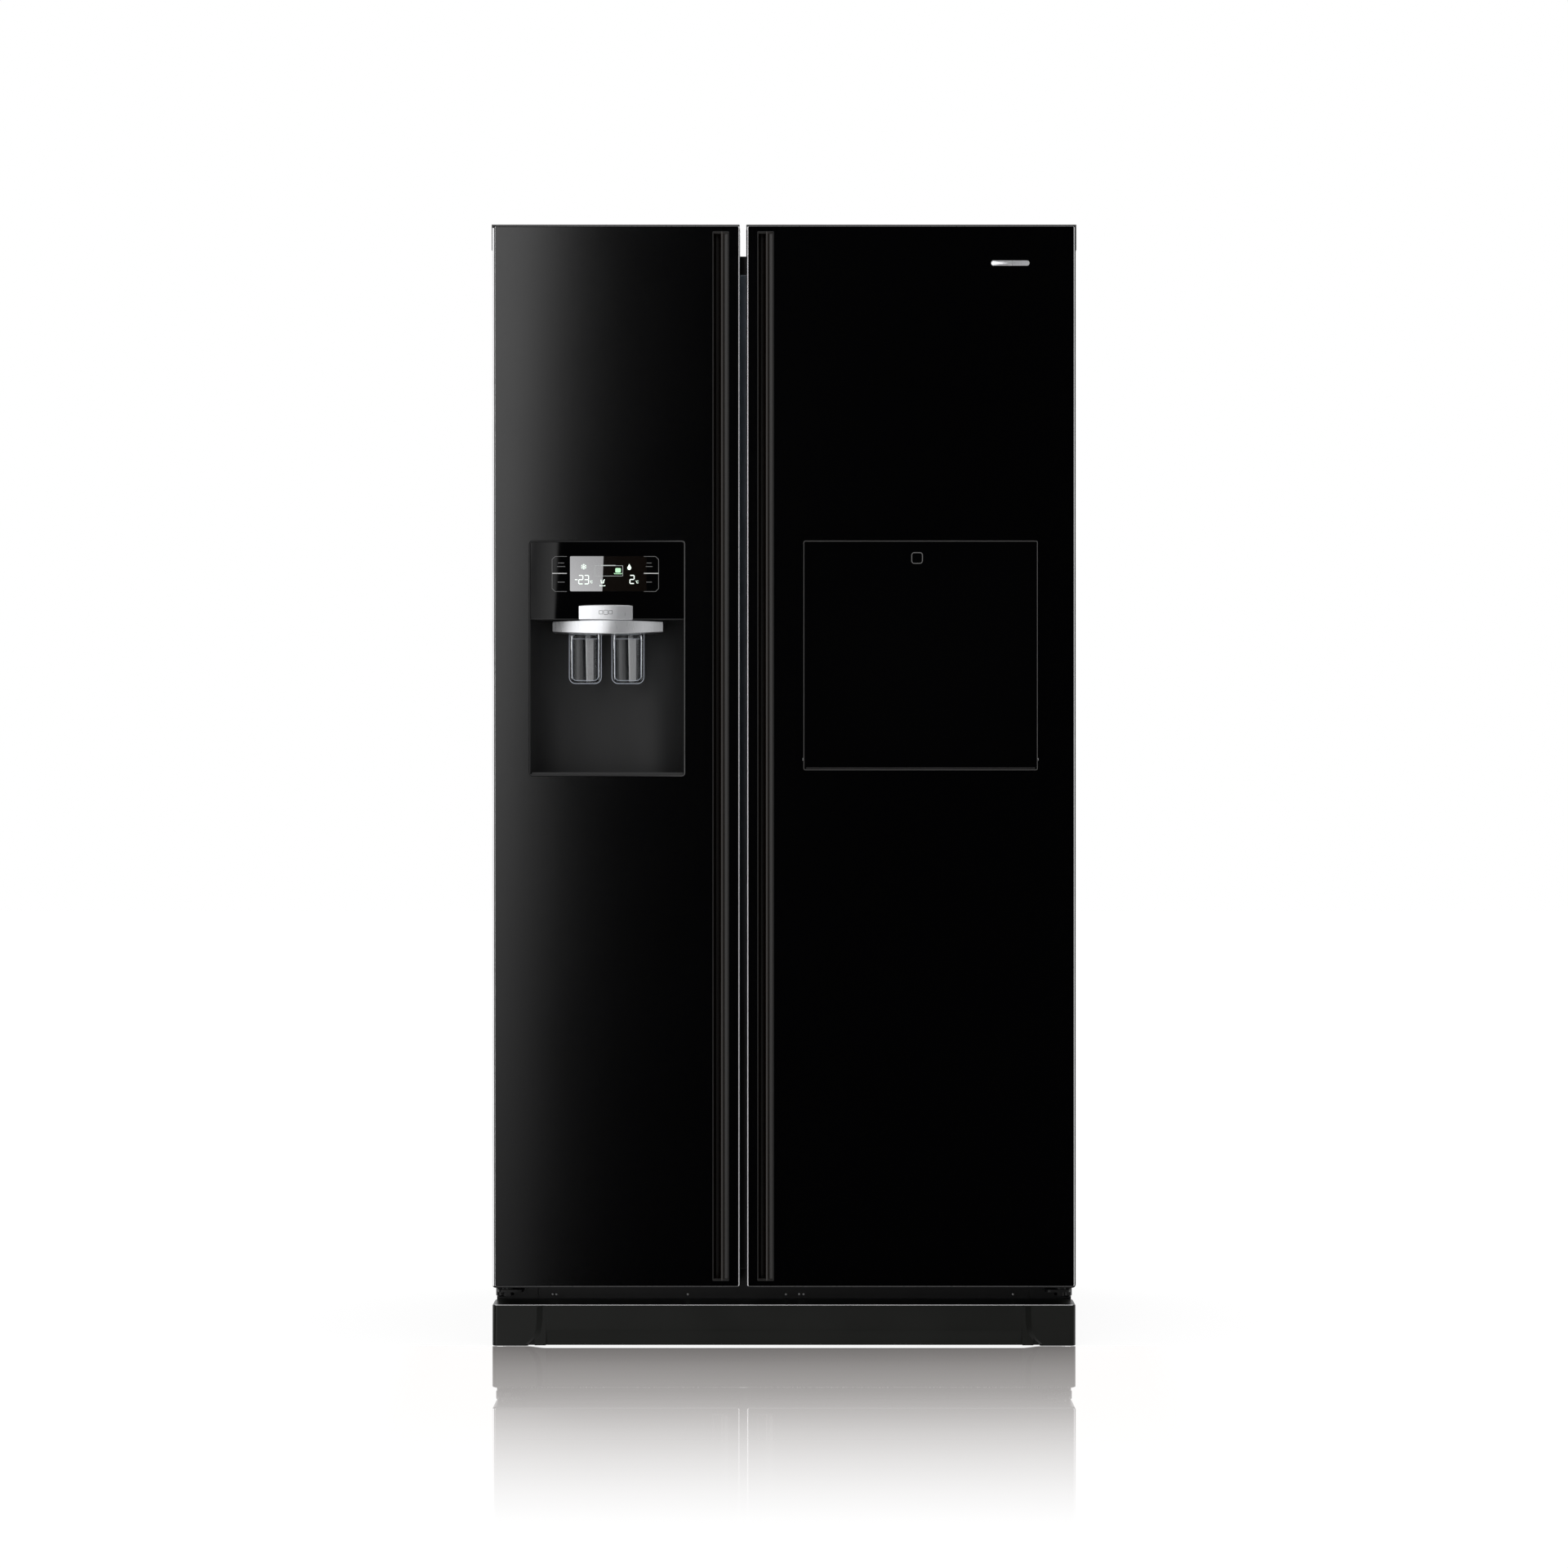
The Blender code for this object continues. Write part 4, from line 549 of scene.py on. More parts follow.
def outer_edge(material):
    """Rolled outer edge of the freezer door, which catches the light from the side."""
    x, _, z = span("freezer_door_core")
    wide = ROLLED_EDGE - 0.05
    section = [(0.05, -364.2), (0.05, -364.68), (wide - 0.2, -365.33), (wide, -365.25), (wide, -364.2)]
    art = Drawing()
    art.bar(*([(x[0] + inset, y, level) for inset, y in section] for level in (z[0] + 3.0, z[1] - 2.0)))
    return art.finish("freezer_door_outer_edge", material, "freezer_door")


def handle_outline(side, material):
    """Thin frame around a handle channel, with squared ends and an inner step at each end."""
    x, _, z = span(f"{side}_handle_channel")
    art = Drawing()
    art.ring(x, z, 0.6, [(-0.5, -364.9), (-0.5, -365.3), (-0.2, -365.6), (0.6, -365.6), (0.9, -365.3),
                         (0.9, -364.9)], 2)
    for level in (z[0] + 2.6, z[1] - 2.6):
        art.line([(x[0] + 1.2, level), (x[1] - 1.2, level)], 0.7, -365.5, -364.8)
    return art.finish(f"{side}_handle_outline", material, f"{side}_door")


def door_badge(material):
    """Plain satin bar at the top of the fridge door."""
    x, _, z = span("fridge_door_panel")
    middle, level = x[1] - 100.0, z[1] - 58.0
    outline = rounded((middle - 30.0, middle + 30.0), (level - 4.0, level + 4.0), 4.0)
    art = Drawing()
    art.plate(outline, -365.9, -364.9, 0.35)
    return art.finish("fridge_door_badge", material, "fridge_door", 40)


def bar_marks(line, mark):
    """Grey outline of the home bar door, a painted highlight on the edge of its gap, and the mark that shows
    where to push it.
    """
    x, y, z = span("home_bar_panel")
    art = Drawing()
    front = y[0]
    # painted highlight along the edge of the door's gap, with a second line along its bottom
    art.ring(x, z, 3.0, [(0.0, front + 0.5), (0.0, front), (0.25, front - 0.2), (1.05, front - 0.2),
                         (1.3, front), (1.3, front + 0.5)])
    art.line([(x[0] + 4.0, z[0] + 3.4), (x[1] - 4.0, z[0] + 3.4)], 0.8, front - 0.15, front + 0.3)
    art.finish("home_bar_outline", line, "home_bar_door")
    art = Drawing()
    middle, level = 0.5 * (x[0] + x[1]) - 5.5, z[1] - 27.0
    art.ring((middle - 9.0, middle + 9.0), (level - 9.0, level + 9.0), 4.5,
             [(0.0, front + 0.3), (0.0, front - 0.1), (0.2, front - 0.25), (1.2, front - 0.25),
              (1.4, front - 0.1), (1.4, front + 0.3)])
    art.finish("home_bar_push_mark", mark, "home_bar_door")


# ---------------------------------------------------------------- dispenser

def dispenser_outline(material):
    """Thin raised line around the dispenser."""
    x, y, z = span("dispenser_housing")
    front = y[0]
    art = Drawing()
    art.ring(x, z, 5.0, [(0.0, front + 0.6), (0.0, front), (0.15, front - 0.15), (0.7, front - 0.15),
                         (0.85, front), (0.85, front + 0.6)])
    return art.finish("dispenser_outline", material, "freezer_door")


SEGMENTS = {"0": "abcdef", "1": "bc", "2": "abged", "3": "abgcd", "-": "g"}


def digit(art, sign, u, v, width, height, stroke, front, back):
    """Seven-segment figure with its lower left corner at (u, v)."""
    gap, middle, top = 0.35, v + 0.5 * height, v + height
    half = 0.5 * stroke
    left, right = u + half, u + width - half
    runs = {"a": ((left + gap, top - half), (right - gap, top - half)),
            "g": ((left + gap, middle), (right - gap, middle)),
            "d": ((left + gap, v + half), (right - gap, v + half)),
            "f": ((left, middle + gap), (left, top - half - gap)),
            "b": ((right, middle + gap), (right, top - half - gap)),
            "e": ((left, v + half + gap), (left, middle - gap)),
            "c": ((right, v + half + gap), (right, middle - gap))}
    for name in SEGMENTS[sign]:
        art.line(runs[name], stroke, front, back, 0.08)


def degree_mark(art, u, v, front, back):
    """Small raised ring and hook of the degree sign."""
    art.dot(u + 0.6, v + 3.6, 0.6, front, back, 0.08, 10)
    hook = [(4.4, 3.3), (3.6, 3.9), (2.4, 3.9), (1.7, 3.1), (1.7, 1.2), (2.4, 0.4), (3.6, 0.4), (4.4, 1.0)]
    art.line([(u + du, v + dv) for du, dv in hook], 0.75, front, back, 0.08)


def snow_mark(art, centre, front, back):
    """Six-armed flake of the freezer."""
    for k in range(6):
        turn = math.radians(30.0 + 60.0 * k)
        arm = Vector((math.cos(turn), math.sin(turn)))
        side = Vector((-arm.y, arm.x))
        art.line([tuple(centre + arm * 0.4), tuple(centre + arm * 4.3)], 0.8, front, back, 0.08)
        art.line([tuple(centre + arm * 3.9 + side * 1.5), tuple(centre + arm * 2.6),
                  tuple(centre + arm * 3.9 - side * 1.5)], 0.55, front, back, 0.08)
    art.dot(centre.x, centre.y, 1.0, front, back, 0.08)


def drop_mark(art, centre, front, back):
    """Water drop of the fridge."""
    outline = []
    for k in range(24):
        turn = 2.0 * math.pi * k / 24
        pull = 3.2 * max(0.0, math.sin(turn)) ** 6
        outline.append((centre.x + 3.0 * math.cos(turn) * (1.0 - 0.18 * pull),
                        centre.y + 3.2 * math.sin(turn) + pull))
    art.plate(outline, front, back, 0.1)


def display_marks(white, green, grey):
    """Lit figures and symbols of the display."""
    x, y, z = span("display_window")
    front, back = y[0] - 0.25, y[0] + 0.2
    left, low = x[0], z[0]

    def stroke(points, width):
        art.line([(left + u, low + v) for u, v in points], width, front, back, 0.08)

    art = Drawing()
    digit(art, "-", left + 6.6, low + 10.6, 6.0, 14.7, 1.4, front, back)
    digit(art, "2", left + 12.8, low + 10.6, 7.9, 14.7, 1.45, front, back)
    digit(art, "3", left + 21.7, low + 10.6, 7.9, 14.7, 1.45, front, back)
    degree_mark(art, left + 30.8, low + 12.2, front, back)
    digit(art, "2", left + 92.7, low + 11.2, 8.0, 14.1, 1.45, front, back)
    degree_mark(art, left + 102.2, low + 12.2, front, back)
    snow_mark(art, Vector((left + 21.4, low + 38.1)), front, back)
    drop_mark(art, Vector((left + 92.4, low + 36.2)), front, back)
    stroke([(48.2, 17.6), (48.8, 12.8), (52.4, 12.8), (53.2, 17.6)], 1.1)
    stroke([(50.6, 14.6), (54.2, 18.4)], 0.9)
    stroke([(46.6, 9.4), (46.6, 8.4), (54.4, 8.4), (54.4, 9.4)], 1.0)
    art.finish("display_figures", white, "freezer_door")
    art = Drawing()
    art.ring((left + 38.3, left + 82.5), (low + 23.3, low + 40.0), 0.8,
             [(0.0, back), (0.0, front + 0.1), (0.1, front), (0.5, front), (0.6, front + 0.1),
              (0.6, back)], 2)
    art.line([(left + 48.0, low + 40.0), (left + 71.0, low + 40.0)], 1.5, front - 0.05, back, 0.08)
    art.finish("display_zone_box", grey, "freezer_door")
    art = Drawing()
    art.plate(rounded((left + 70.6, left + 79.2), (low + 28.8, low + 36.0), 1.6, 0.0, 4), front, back, 0.1)
    stroke([(68.6, 28.2), (69.4, 27.0), (80.2, 27.0), (81.0, 28.2)], 0.9)
    art.finish("display_zone_icon", green, "freezer_door")


def key_marks(bracket, bar, ink):
    """Printed brackets around the four touch keys, with a plain dash in place of each label line."""
    x, y, z = span("display_window")
    front, back = y[0] - 0.2, y[0] + 0.3
    low, high, middle, cut = z[0] - 0.6, z[1] - 0.4, z[0] + 27.7, 4.6
    sides = ((x[0] - 5.0, x[0] - 28.0), (x[1] - 4.3, x[1] + 18.7))
    art = Drawing()
    for tip, corner in sides:
        towards = 1.0 if tip > corner else -1.0
        points = [(tip, high), (corner + towards * cut, high), (corner, high - cut), (corner, low + cut),
                  (corner + towards * cut, low), (tip, low)]
        art.line(points[::1 if towards > 0 else -1], 0.8, front, back, 0.08)
    art.finish("key_brackets", bracket, "freezer_door")
    art = Drawing()
    for tip, corner in sides:
        art.line(sorted([(tip, middle), (corner, middle)]), 1.3, front - 0.05, back, 0.1)
    art.finish("key_bars", bar, "freezer_door")
    art = Drawing()
    for start, end in ((x[0] - 20.4, x[0] - 7.5), (x[1] - 1.4, x[1] + 9.2)):
        for level, trim in ((43.9, 1.5), (38.4, 0.0), (14.1, 1.0)):
            art.line([(start + trim, z[0] + level), (end - trim, z[0] + level)], 1.0, front, back, 0.1)
    art.finish("key_dashes", ink, "freezer_door")


def cradle(x, bottom, top, radius, steps=6):
    """U-shaped path: down the left side, round both lower corners and up the right side."""
    points = [(x[0], top)]
    for cx, start in ((x[0] + radius, 180), (x[1] - radius, 270)):
        for k in range(steps + 1):
            turn = math.radians(start + 90.0 * k / steps)
            points.append((cx + radius * math.cos(turn), bottom + radius + radius * math.sin(turn)))
    return points + [(x[1], top)]


def lever_beads(name, material):
    """Raised beads along the outer edge of a lever and around the mouth of its bowl; their light blue-grey
    colour is a painted highlight for the bright edges of the clear lever.
    """
    x, y, z = span(name)
    middle, half = 0.5 * (x[0] + x[1]), 0.5 * (x[1] - x[0]) - 3.5
    top = span("dispenser_canopy")[2][0] - 1.0
    front, back = y[0] - 0.3, y[0] + 0.2
    art = Drawing()
    for inset, radius, width in ((0.5, 10.0, 0.9), (5.3, 6.4, 0.8)):
        side = half - inset
        art.line(cradle((middle - side, middle + side), z[0] + inset, top, radius), width, front, back, 0.12)
    art.line([(middle - half + 7.0, top - 5.5), (middle + half - 7.0, top - 5.5)], 0.7, front, back, 0.1)
    return art.finish(name + "_bead", material, name + "_body", 40)


def button_mark(material):
    """Small ice-cube symbol on the ice type button."""
    x, y, z = span("ice_type_button")
    art = Drawing()
    front = y[0] - 0.12
    middle, level = 0.5 * (x[0] + x[1]), 0.5 * (z[0] + z[1])
    for shift, size in ((-7.5, 3.0), (0.0, 3.6), (7.5, 3.0)):
        art.ring((middle + shift - size, middle + shift + size), (level - size, level + size), 1.0,
                 [(0.0, front + 0.5), (0.0, front), (0.6, front), (0.6, front + 0.5)], 3)
    return art.finish("ice_type_mark", material, "ice_type_button_body")


# ---------------------------------------------------------------- base

def kick_edge(material):
    """Bright bead along the upper front edge of the kick plate."""
    x, _, z = span("kick_plate")
    top = z[1]
    section = [(-354.2, top - 0.6), (-354.9, top - 0.2), (-354.4, top + 0.45), (-352.8, top + 0.55),
               (-352.8, top - 0.6)]
    art = Drawing()
    art.bar(*([(end, y, level) for y, level in section] for end in (x[0] + 5.0, x[1] - 5.0)))
    return art.finish("kick_plate_edge", material, "cabinet")


def flange_screws(material):
    """Screws along the lower edge of the cabinet front."""
    front = span("cabinet_shell")[1][0]
    art = Drawing()
    for x in (-366.0, -360.0, -152.0, 3.0, 24.0, 31.0, 362.0):
        art.dot(x, SCREW_LEVEL, 1.7, front - 1.3, front - 0.1, 0.5, 12)
    return art.finish("flange_screws", material, "cabinet", 50)


# ---------------------------------------------------------------- interior and rear

SHELVES = ("freezer_shelf_upper", "freezer_shelf_lower", "fridge_shelf_upper", "fridge_shelf_lower")


def shelf_trims(material):
    """White bar along the front edge of each glass shelf."""
    for name in SHELVES:
        x, y, z = span(name)
        outline = rounded((x[0] + 6.0, x[1] - 6.0), (z[0] - 1.0, z[1] + 4.0), 2.0)
        art = Drawing()
        art.plate(outline, y[0] - 3.0, y[0] - 0.1, 0.8)
        art.finish(name + "_trim", material, "cabinet")


def duct_details(side, dark, lens):
    """Outlet slots and the lamp cover on the air duct at the back of a compartment."""
    x = span(f"{side}_liner")[0]
    middle, front = 0.5 * (x[0] + x[1]), DUCT_FRONT
    art = Drawing()
    for level in (520.0, 760.0, 1000.0, 1240.0):
        for row in range(4):
            low = level + 14.0 * row
            art.plate(rounded((middle - 38.0, middle + 38.0), (low, low + 6.0), 3.0, 0.0, 4), front - 0.5,
                      front - 0.1, 0.1)
    art.finish(f"{side}_duct_slots", dark, "cabinet")
    art = Drawing()
    low = 1400.0
    art.plate(rounded((middle - 46.0, middle + 46.0), (low, low + 74.0), 10.0), front - 9.0, front - 0.1, 3.0)
    for row in range(6):
        level = low + 12.0 + 10.0 * row
        art.plate(rounded((middle - 36.0, middle + 36.0), (level, level + 3.0), 1.4, 0.0, 3), front - 9.9,
                  front - 8.9, 0.4)
    art.finish(f"{side}_lamp_cover", lens, "cabinet")


def rear_details(screw, plate):
    """Screws around the rear sheet and a blank rating plate."""
    x, y, z = span("back_panel")
    sheet = span("cabinet_shell")[1][1] + 1.5
    art = Drawing()
    for px in (x[0] + 16.0, x[1] - 16.0):
        for level in (z[0] + 40.0, z[0] + 380.0, z[0] + 720.0, z[0] + 1060.0, z[1] - 14.0):
            art.dot(px, level, 4.2, sheet + 1.9, sheet - 0.1, -0.8, 12)
    art.finish("rear_screws", screw, "cabinet", 50)
    art = Drawing()
    back = y[1]
    left, low = x[0] + 120.0, z[1] - 190.0
    art.plate(rounded((left, left + 110.0), (low, low + 70.0), 3.0), back + 0.7, back - 0.05, -0.2)
    art.ring((left + 5.0, left + 105.0), (low + 5.0, low + 65.0), 2.0,
             [(0.0, back + 0.6), (0.0, back + 0.95), (1.0, back + 0.95), (1.0, back + 0.6)], 3)
    for row in range(4):
        level = low + 16.0 + 12.0 * row
        art.ring((left + 12.0, left + 98.0), (level, level + 7.0), 0.6,
                 [(0.0, back + 0.6), (0.0, back + 0.9), (0.6, back + 0.9), (0.6, back + 0.6)], 2)
    art.finish("rating_plate", plate, "cabinet")


# ---------------------------------------------------------------- dressing the CAD nodes

def dress(material, *names):
    """Gives every slot of the named CAD nodes this material."""
    for name in names:
        for slot in NODES[name].material_slots:
            slot.material = material


def soften():
    """Smooth shading over the facets of the CAD nodes; edges sharper than 20 degrees stay crisp."""
    for node in NODES.values():
        weld = node.modifiers.new("weld", "WELD")
        weld.merge_threshold = 0.000002
        split = node.modifiers.new("split", "EDGE_SPLIT")
        split.split_angle = math.radians(20.0)
        split.use_edge_sharp = False
        node.modifiers.new("normals", "WEIGHTED_NORMAL")


def dress_frame():
    dress(door_enamel(), "freezer_door_panel", "fridge_door_panel")
    dress(black_glass(), "home_bar_panel", "control_panel")
    dress(painted_steel(), "freezer_door_core", "fridge_door_core", "cabinet_shell", "bottom_hinge_freezer",
          "bottom_hinge_fridge")
    dress(moulded("cap_plastic", (0.010, 0.010, 0.010), (0.018, 0.018, 0.018), 0.4), "freezer_door_cap",
          "fridge_door_cap", "hinge_cover_freezer", "hinge_cover_fridge")
    dress(handle_plastic(), "freezer_handle_channel", "fridge_handle_channel")
    dress(dispenser_plastic(), "dispenser_housing")
    dress(moulded("tray_plastic", (0.020, 0.020, 0.021), (0.030, 0.030, 0.031), 0.34), "drip_tray")
    dress(brushed_silver(), "dispenser_canopy", "ice_type_button")
    dress(lever_plastic(), "ice_lever", "water_lever")
    dress(display_screen(), "display_window")
    dress(moulded("liner_plastic", (0.74, 0.75, 0.76), (0.80, 0.81, 0.82), 0.32), "freezer_liner",
          "fridge_liner", "freezer_door_liner", "fridge_door_liner", "home_bar_liner")
    dress(clear_plastic("bin_plastic", (0.90, 0.95, 0.98), 0.06), "freezer_bin_upper", "freezer_bin_lower",
          "fridge_bin_upper", "fridge_bin_lower", "crisper_drawer")
    dress(moulded("drawer_plastic", (0.70, 0.74, 0.77), (0.78, 0.81, 0.83), 0.28), "freezer_drawer",
          "ice_bucket")
    dress(shelf_glass(), *SHELVES)
    dress(rubber(), "freezer_door_gasket", "fridge_door_gasket", "home_bar_gasket")
    dress(mullion_paint(), "centre_mullion")
    dress(kick_satin(), "kick_plate")
    dress(zinc("back_zinc", 0.50, 90.0), "back_panel", "base_frame")
    dress(zinc("coil_steel", 0.30, 260.0), "condenser_coil")
    dress(bright_steel(), "top_hinge_freezer", "top_hinge_fridge")
    dress(compressor_enamel(), "compressor", "fan_motor")
    dress(moulded("cover_plastic", (0.10, 0.10, 0.105), (0.14, 0.14, 0.145), 0.5), "machine_room_cover")
    dress(moulded("fan_plastic", (0.030, 0.030, 0.032), (0.045, 0.045, 0.048), 0.42), "condenser_fan")
    dress(moulded("roller_nylon", (0.035, 0.035, 0.037), (0.06, 0.06, 0.062), 0.48), "front_left_roller",
          "front_right_roller", "rear_left_roller", "rear_right_roller")
    dress(moulded("foot_plastic", (0.025, 0.025, 0.026), (0.045, 0.045, 0.046), 0.5), "levelling_foot_left",
          "levelling_foot_right")
    dress(moulded("valve_plastic", (0.62, 0.66, 0.70), (0.74, 0.77, 0.80), 0.36), "water_inlet_valve")
    dress(foam_yellow(), "insulation_foam")


def add_pieces():
    polished = edge_metal("edge_polished", 0.93, 0.14)
    # painted shade: a darker copy of the edge metal for the level runs of the door edges
    satin = edge_metal("edge_shaded_copy", 0.15, 0.3)
    for side in ("freezer", "fridge"):
        door_edges(side, polished, satin)
        handle_outline(side, outline_grey("handle_line_" + side, 0.008))
    outer_edge(edge_metal("edge_rolled", 0.66, 0.26))
    door_badge(brushed_silver())
    dispenser_outline(painted_sheen_outline("dispenser_line", span("dispenser_housing")[0], 0.004, 0.11))
    # painted highlight: the grey outline of the home bar door stands for the light on the edge of its gap
    bar_marks(outline_grey("bar_edge_highlight", 0.05), outline_grey("push_mark_grey", 0.10))
    display_marks(lamp_ink("lamp_white", (0.86, 1.0, 0.90), 0.95),
                  lamp_ink("lamp_green", (0.55, 0.95, 0.60), 0.62),
                  lamp_ink("lamp_grey", (0.75, 0.80, 0.78), 0.13))
    key_marks(printed_ink("bracket_ink", 0.13), printed_ink("bar_ink", 0.62), printed_ink("label_ink", 0.13))
    button_mark(printed_ink("cube_ink", 0.05))
    # painted highlight: opaque light blue-grey beads stand for the bright edge lines of the clear levers
    bead = moulded("lever_bead_highlight", (0.36, 0.39, 0.45), (0.46, 0.49, 0.56), 0.16, 400.0, 0.00001)
    for lever in ("ice_lever", "water_lever"):
        lever_beads(lever, bead)
    kick_edge(edge_metal("kick_edge_metal", 0.75, 0.25))
    screw = edge_metal("screw_metal", 0.6, 0.35)
    flange_screws(screw)
    shelf_trims(moulded("trim_plastic", (0.72, 0.73, 0.74), (0.80, 0.81, 0.82), 0.3))
    slots = moulded("slot_plastic", (0.05, 0.05, 0.052), (0.09, 0.09, 0.092), 0.5)
    lens = moulded("lamp_cover_plastic", (0.80, 0.82, 0.84), (0.90, 0.91, 0.92), 0.2)
    for side in ("freezer", "fridge"):
        duct_details(side, slots, lens)
    rear_details(screw, edge_metal("plate_metal", 0.62, 0.3))


# ---------------------------------------------------------------- stage

class Graph:
    """Short calls for a chain of math nodes."""

    def __init__(self, tree):
        self.tree = tree

    def put(self, socket, value):
        if isinstance(value, (int, float)):
            socket.default_value = value
        else:
            self.tree.links.new(value, socket)

    def do(self, operation, a, b=0.0):
        node = self.tree.nodes.new("ShaderNodeMath")
        node.operation = operation
        self.put(node.inputs[0], a)
        self.put(node.inputs[1], b)
        return node.outputs[0]

    def ease(self, value, start, end, low=0.0, high=1.0):
        """Smooth step of value from start..end to low..high."""
        node = self.tree.nodes.new("ShaderNodeMapRange")
        node.interpolation_type = "SMOOTHSTEP"
        self.put(node.inputs["Value"], value)
        for name, item in (("From Min", start), ("From Max", end), ("To Min", low), ("To Max", high)):
            self.put(node.inputs[name], item)
        return node.outputs[0]

    def blend(self, factor, first, second):
        """first where factor is 0, second where it is 1."""
        node = self.tree.nodes.new("ShaderNodeMix")
        self.put(node.inputs[0], factor)
        self.put(node.inputs[2], first)
        self.put(node.inputs[3], second)
        return node.outputs[0]


def build_world():
    """Studio light: a narrow card and a strip straight ahead, a soft box to their left, grey screens beyond.

    Directions in front are told by across = x / -y and up = z / -y. The camera itself sees plain white.
    """
    world = bpy.data.worlds.new("studio")
    bpy.context.scene.world = world
    world.use_nodes = True
    tree = world.node_tree
    tree.nodes.clear()
    g = Graph(tree)
    split = tree.nodes.new("ShaderNodeSeparateXYZ")
    tree.links.new(tree.nodes.new("ShaderNodeTexCoord").outputs["Generated"], split.inputs[0])
    dx, dy, dz = split.outputs
    ahead = g.do("MAXIMUM", g.do("MULTIPLY", dy, -1.0), 0.001)
    across = g.do("DIVIDE", dx, ahead)
    up = g.do("DIVIDE", dz, ahead)
    card_edge = g.do("ADD", g.do("MULTIPLY", up, 0.0439), -0.06155)
    inside = g.do("SUBTRACT", card_edge, across)
    card = g.do("SUBTRACT", 0.96, g.do("MULTIPLY", inside, 100.0))
    strip = g.ease(up, -0.25, 0.17, 0.25, 3.2)
    light = g.blend(g.ease(inside, -0.0004, 0.0004), 0.0, card)
    light = g.blend(g.ease(inside, 0.0068, 0.0088), light, strip)
    light = g.blend(g.ease(inside, 0.06, 0.10), light, 1.5)
    light = g.blend(g.ease(across, -0.74, -1.02), light, 0.0)
    light = g.blend(g.ease(across, 0.08, 0.26), light, 0.32)
    light = g.blend(g.ease(across, 0.36, 0.58), light, 0.62)
    light = g.blend(g.ease(across, 0.75, 1.30), light, 0.22)
    light = g.blend(g.ease(g.do("ABSOLUTE", across), 3.6, 6.0), light, 1.1)
    light = g.blend(g.ease(dz, 0.34, 0.70), light, 1.2)
    light = g.blend(g.ease(dz, -0.30, -0.60), light, 0.5)
    light = g.blend(g.ease(dy, -0.25, 0.05), light, g.ease(dz, 0.3, 0.8, 1.0, 1.2))
    seen = tree.nodes.new("ShaderNodeLightPath").outputs["Is Camera Ray"]
    light = g.blend(seen, light, 1.0)
    shine = tree.nodes.new("ShaderNodeBackground")
    shine.inputs["Color"].default_value = (1.0, 1.0, 1.0, 1.0)
    tree.links.new(light, shine.inputs["Strength"])
    out = tree.nodes.new("ShaderNodeOutputWorld")
    tree.links.new(shine.outputs[0], out.inputs["Surface"])


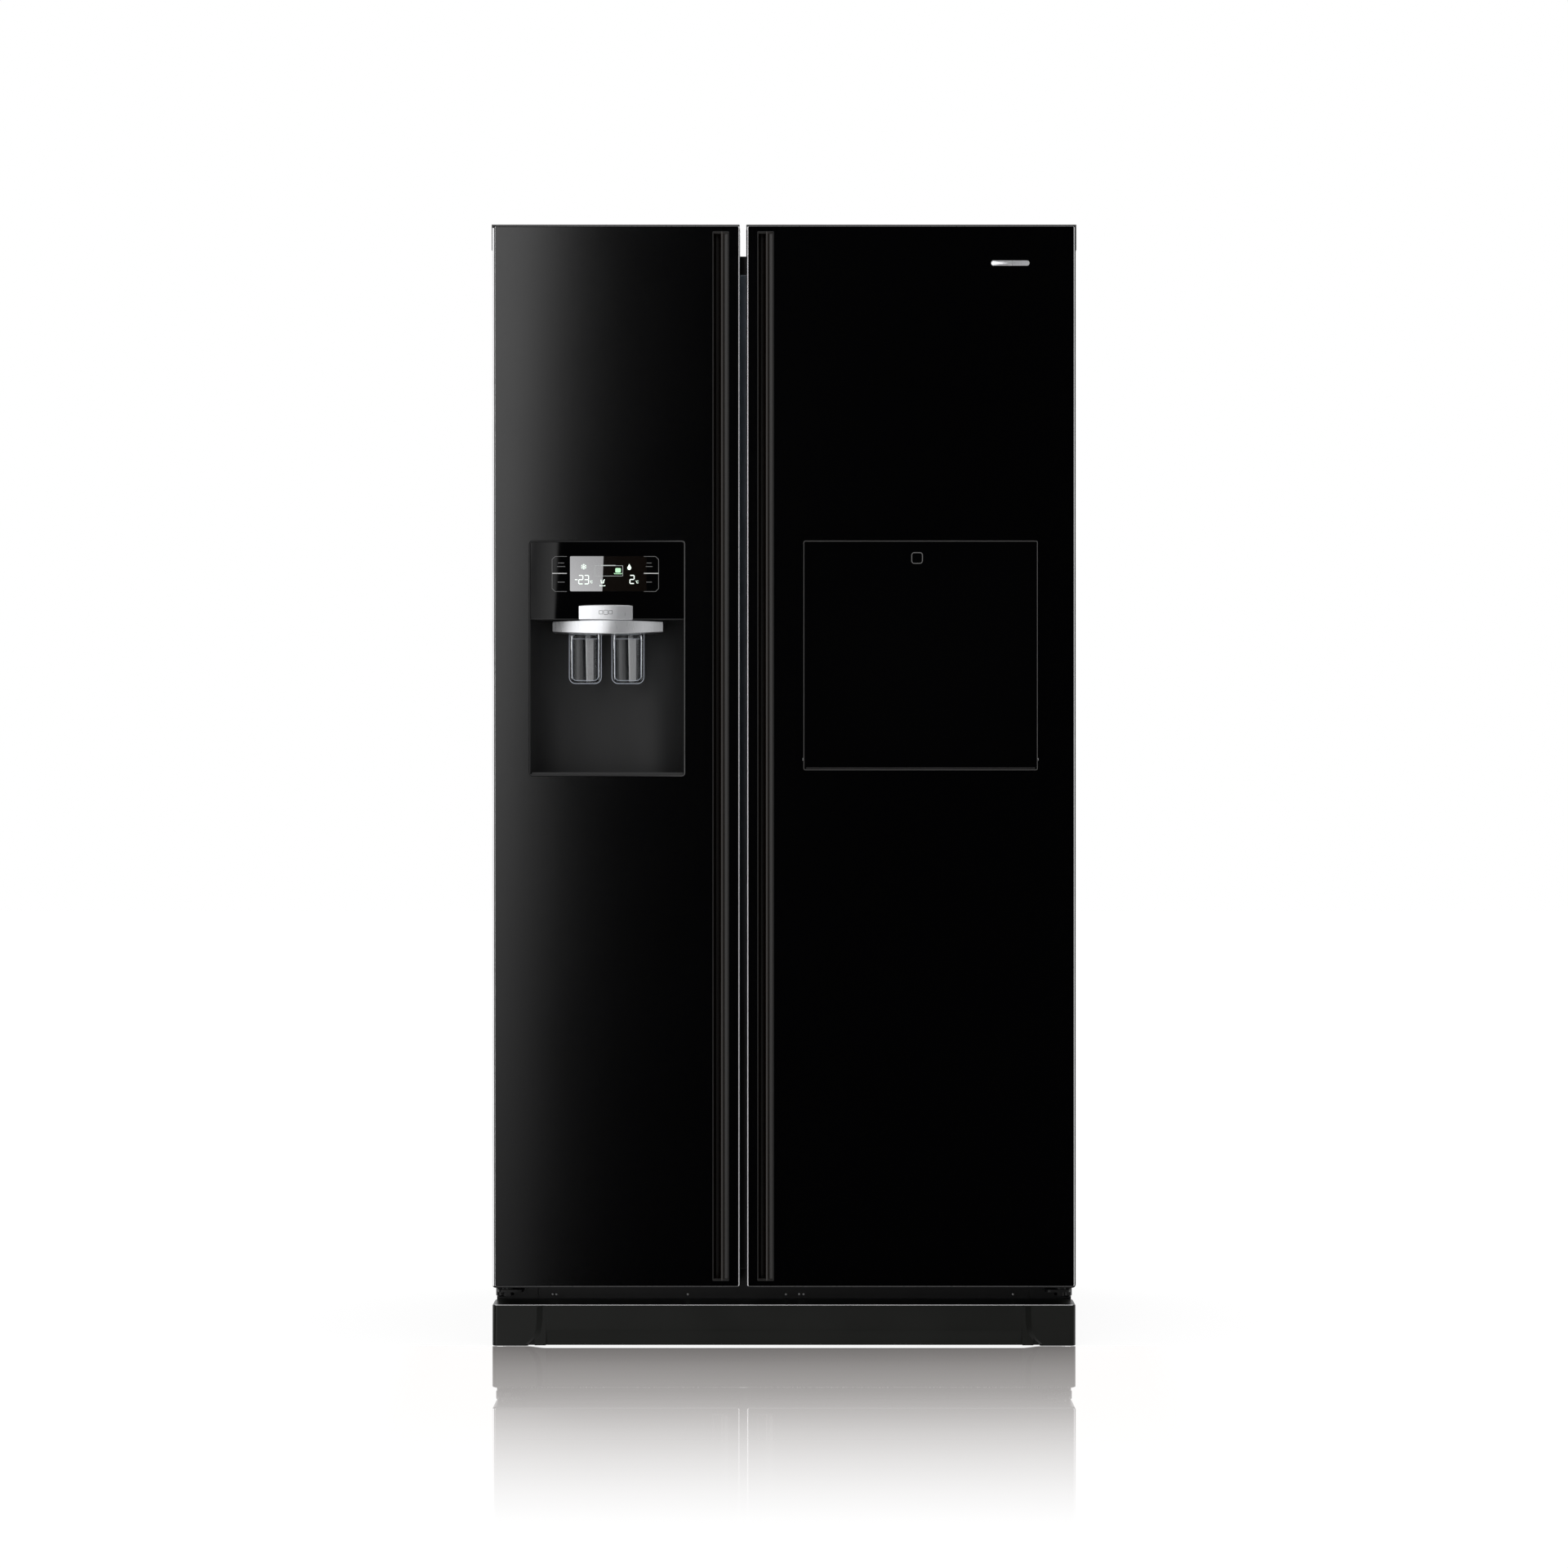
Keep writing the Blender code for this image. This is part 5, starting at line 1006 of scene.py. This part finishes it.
def build_floor():
    """White glossy floor whose mirror fades away in front of the doors; where the mirror is strong, its own
    glow turns brownish, a painted tint of the reflection.
    """
    bm = bmesh.new()
    bmesh.ops.create_grid(bm, x_segments=24, y_segments=24, size=20.0)
    mesh = bpy.data.meshes.new("studio_floor")
    bm.to_mesh(mesh)
    bm.free()
    floor = bpy.data.objects.new("studio_floor", mesh)
    bpy.context.scene.collection.objects.link(floor)
    floor.visible_glossy = False
    material = bpy.data.materials.new("floor_white")
    material.use_nodes = True
    tree = material.node_tree
    tree.nodes.clear()
    g = Graph(tree)
    split = tree.nodes.new("ShaderNodeSeparateXYZ")
    tree.links.new(tree.nodes.new("ShaderNodeTexCoord").outputs["Object"], split.inputs[0])
    x, y, _ = split.outputs
    distance = g.do("SUBTRACT", FRONT_PLANE, y)
    fade = tree.nodes.new("ShaderNodeValToRGB")
    stops = ((0.0, 0.83), (0.14, 0.715), (0.28, 0.625), (0.40, 0.50), (0.51, 0.375), (0.65, 0.235),
             (0.80, 0.105), (0.90, 0.04), (1.0, 0.0))
    ramp = fade.color_ramp.elements
    while len(ramp) < len(stops):
        ramp.new(0.5)
    for element, (place, value) in zip(ramp, stops):
        element.position = place
        element.color = (value, value, value, 1.0)
    tree.links.new(g.do("DIVIDE", distance, FLOOR_REACH), fade.inputs[0])
    side = g.do("ABSOLUTE", x)
    start = g.ease(side, 0.370, 0.404, -0.372, -0.3530)
    inside = g.do("MULTIPLY", g.ease(side, 0.50, 0.62, 1.0, 0.0), g.do("LESS_THAN", y, start))
    share = g.do("MULTIPLY", fade.outputs[0], inside)
    glow = tree.nodes.new("ShaderNodeEmission")
    glow.inputs["Strength"].default_value = 0.86
    # painted reflection: the glow turns brownish with the mirror's share, tinting the reflection
    reflection_tint = tree.nodes.new("ShaderNodeMix")
    reflection_tint.data_type = "RGBA"
    reflection_tint.inputs[6].default_value = (1.0, 1.0, 1.0, 1.0)
    reflection_tint.inputs[7].default_value = (1.0, 0.93, 0.90, 1.0)
    tree.links.new(share, reflection_tint.inputs[0])
    tree.links.new(reflection_tint.outputs[2], glow.inputs["Color"])
    chalk = tree.nodes.new("ShaderNodeBsdfDiffuse")
    chalk.inputs["Color"].default_value = (0.17, 0.17, 0.17, 1.0)
    white = tree.nodes.new("ShaderNodeAddShader")
    tree.links.new(glow.outputs[0], white.inputs[0])
    tree.links.new(chalk.outputs[0], white.inputs[1])
    mirror = tree.nodes.new("ShaderNodeBsdfGlossy")
    mirror.inputs["Roughness"].default_value = 0.0
    mirror.inputs["Color"].default_value = (1.0, 1.0, 1.0, 1.0)
    mix = tree.nodes.new("ShaderNodeMixShader")
    tree.links.new(share, mix.inputs[0])
    tree.links.new(white.outputs[0], mix.inputs[1])
    tree.links.new(mirror.outputs[0], mix.inputs[2])
    out = tree.nodes.new("ShaderNodeOutputMaterial")
    tree.links.new(mix.outputs[0], out.inputs["Surface"])
    mesh.materials.append(material)


def build_camera():
    """Level camera straight in front of the doors."""
    data = bpy.data.cameras.new("front_camera")
    data.sensor_width = FILM_WIDTH
    data.lens = FILM_WIDTH * CAMERA_DISTANCE / VIEW_WIDTH
    camera = bpy.data.objects.new("front_camera", data)
    bpy.context.scene.collection.objects.link(camera)
    camera.location = (0.0, FRONT_PLANE - CAMERA_DISTANCE, CAMERA_HEIGHT)
    camera.rotation_euler = (math.radians(90.0), 0.0, 0.0)
    bpy.context.scene.camera = camera
    bpy.context.scene.view_settings.view_transform = "Standard"


soften()
dress_frame()
add_pieces()
build_world()
build_floor()
build_camera()
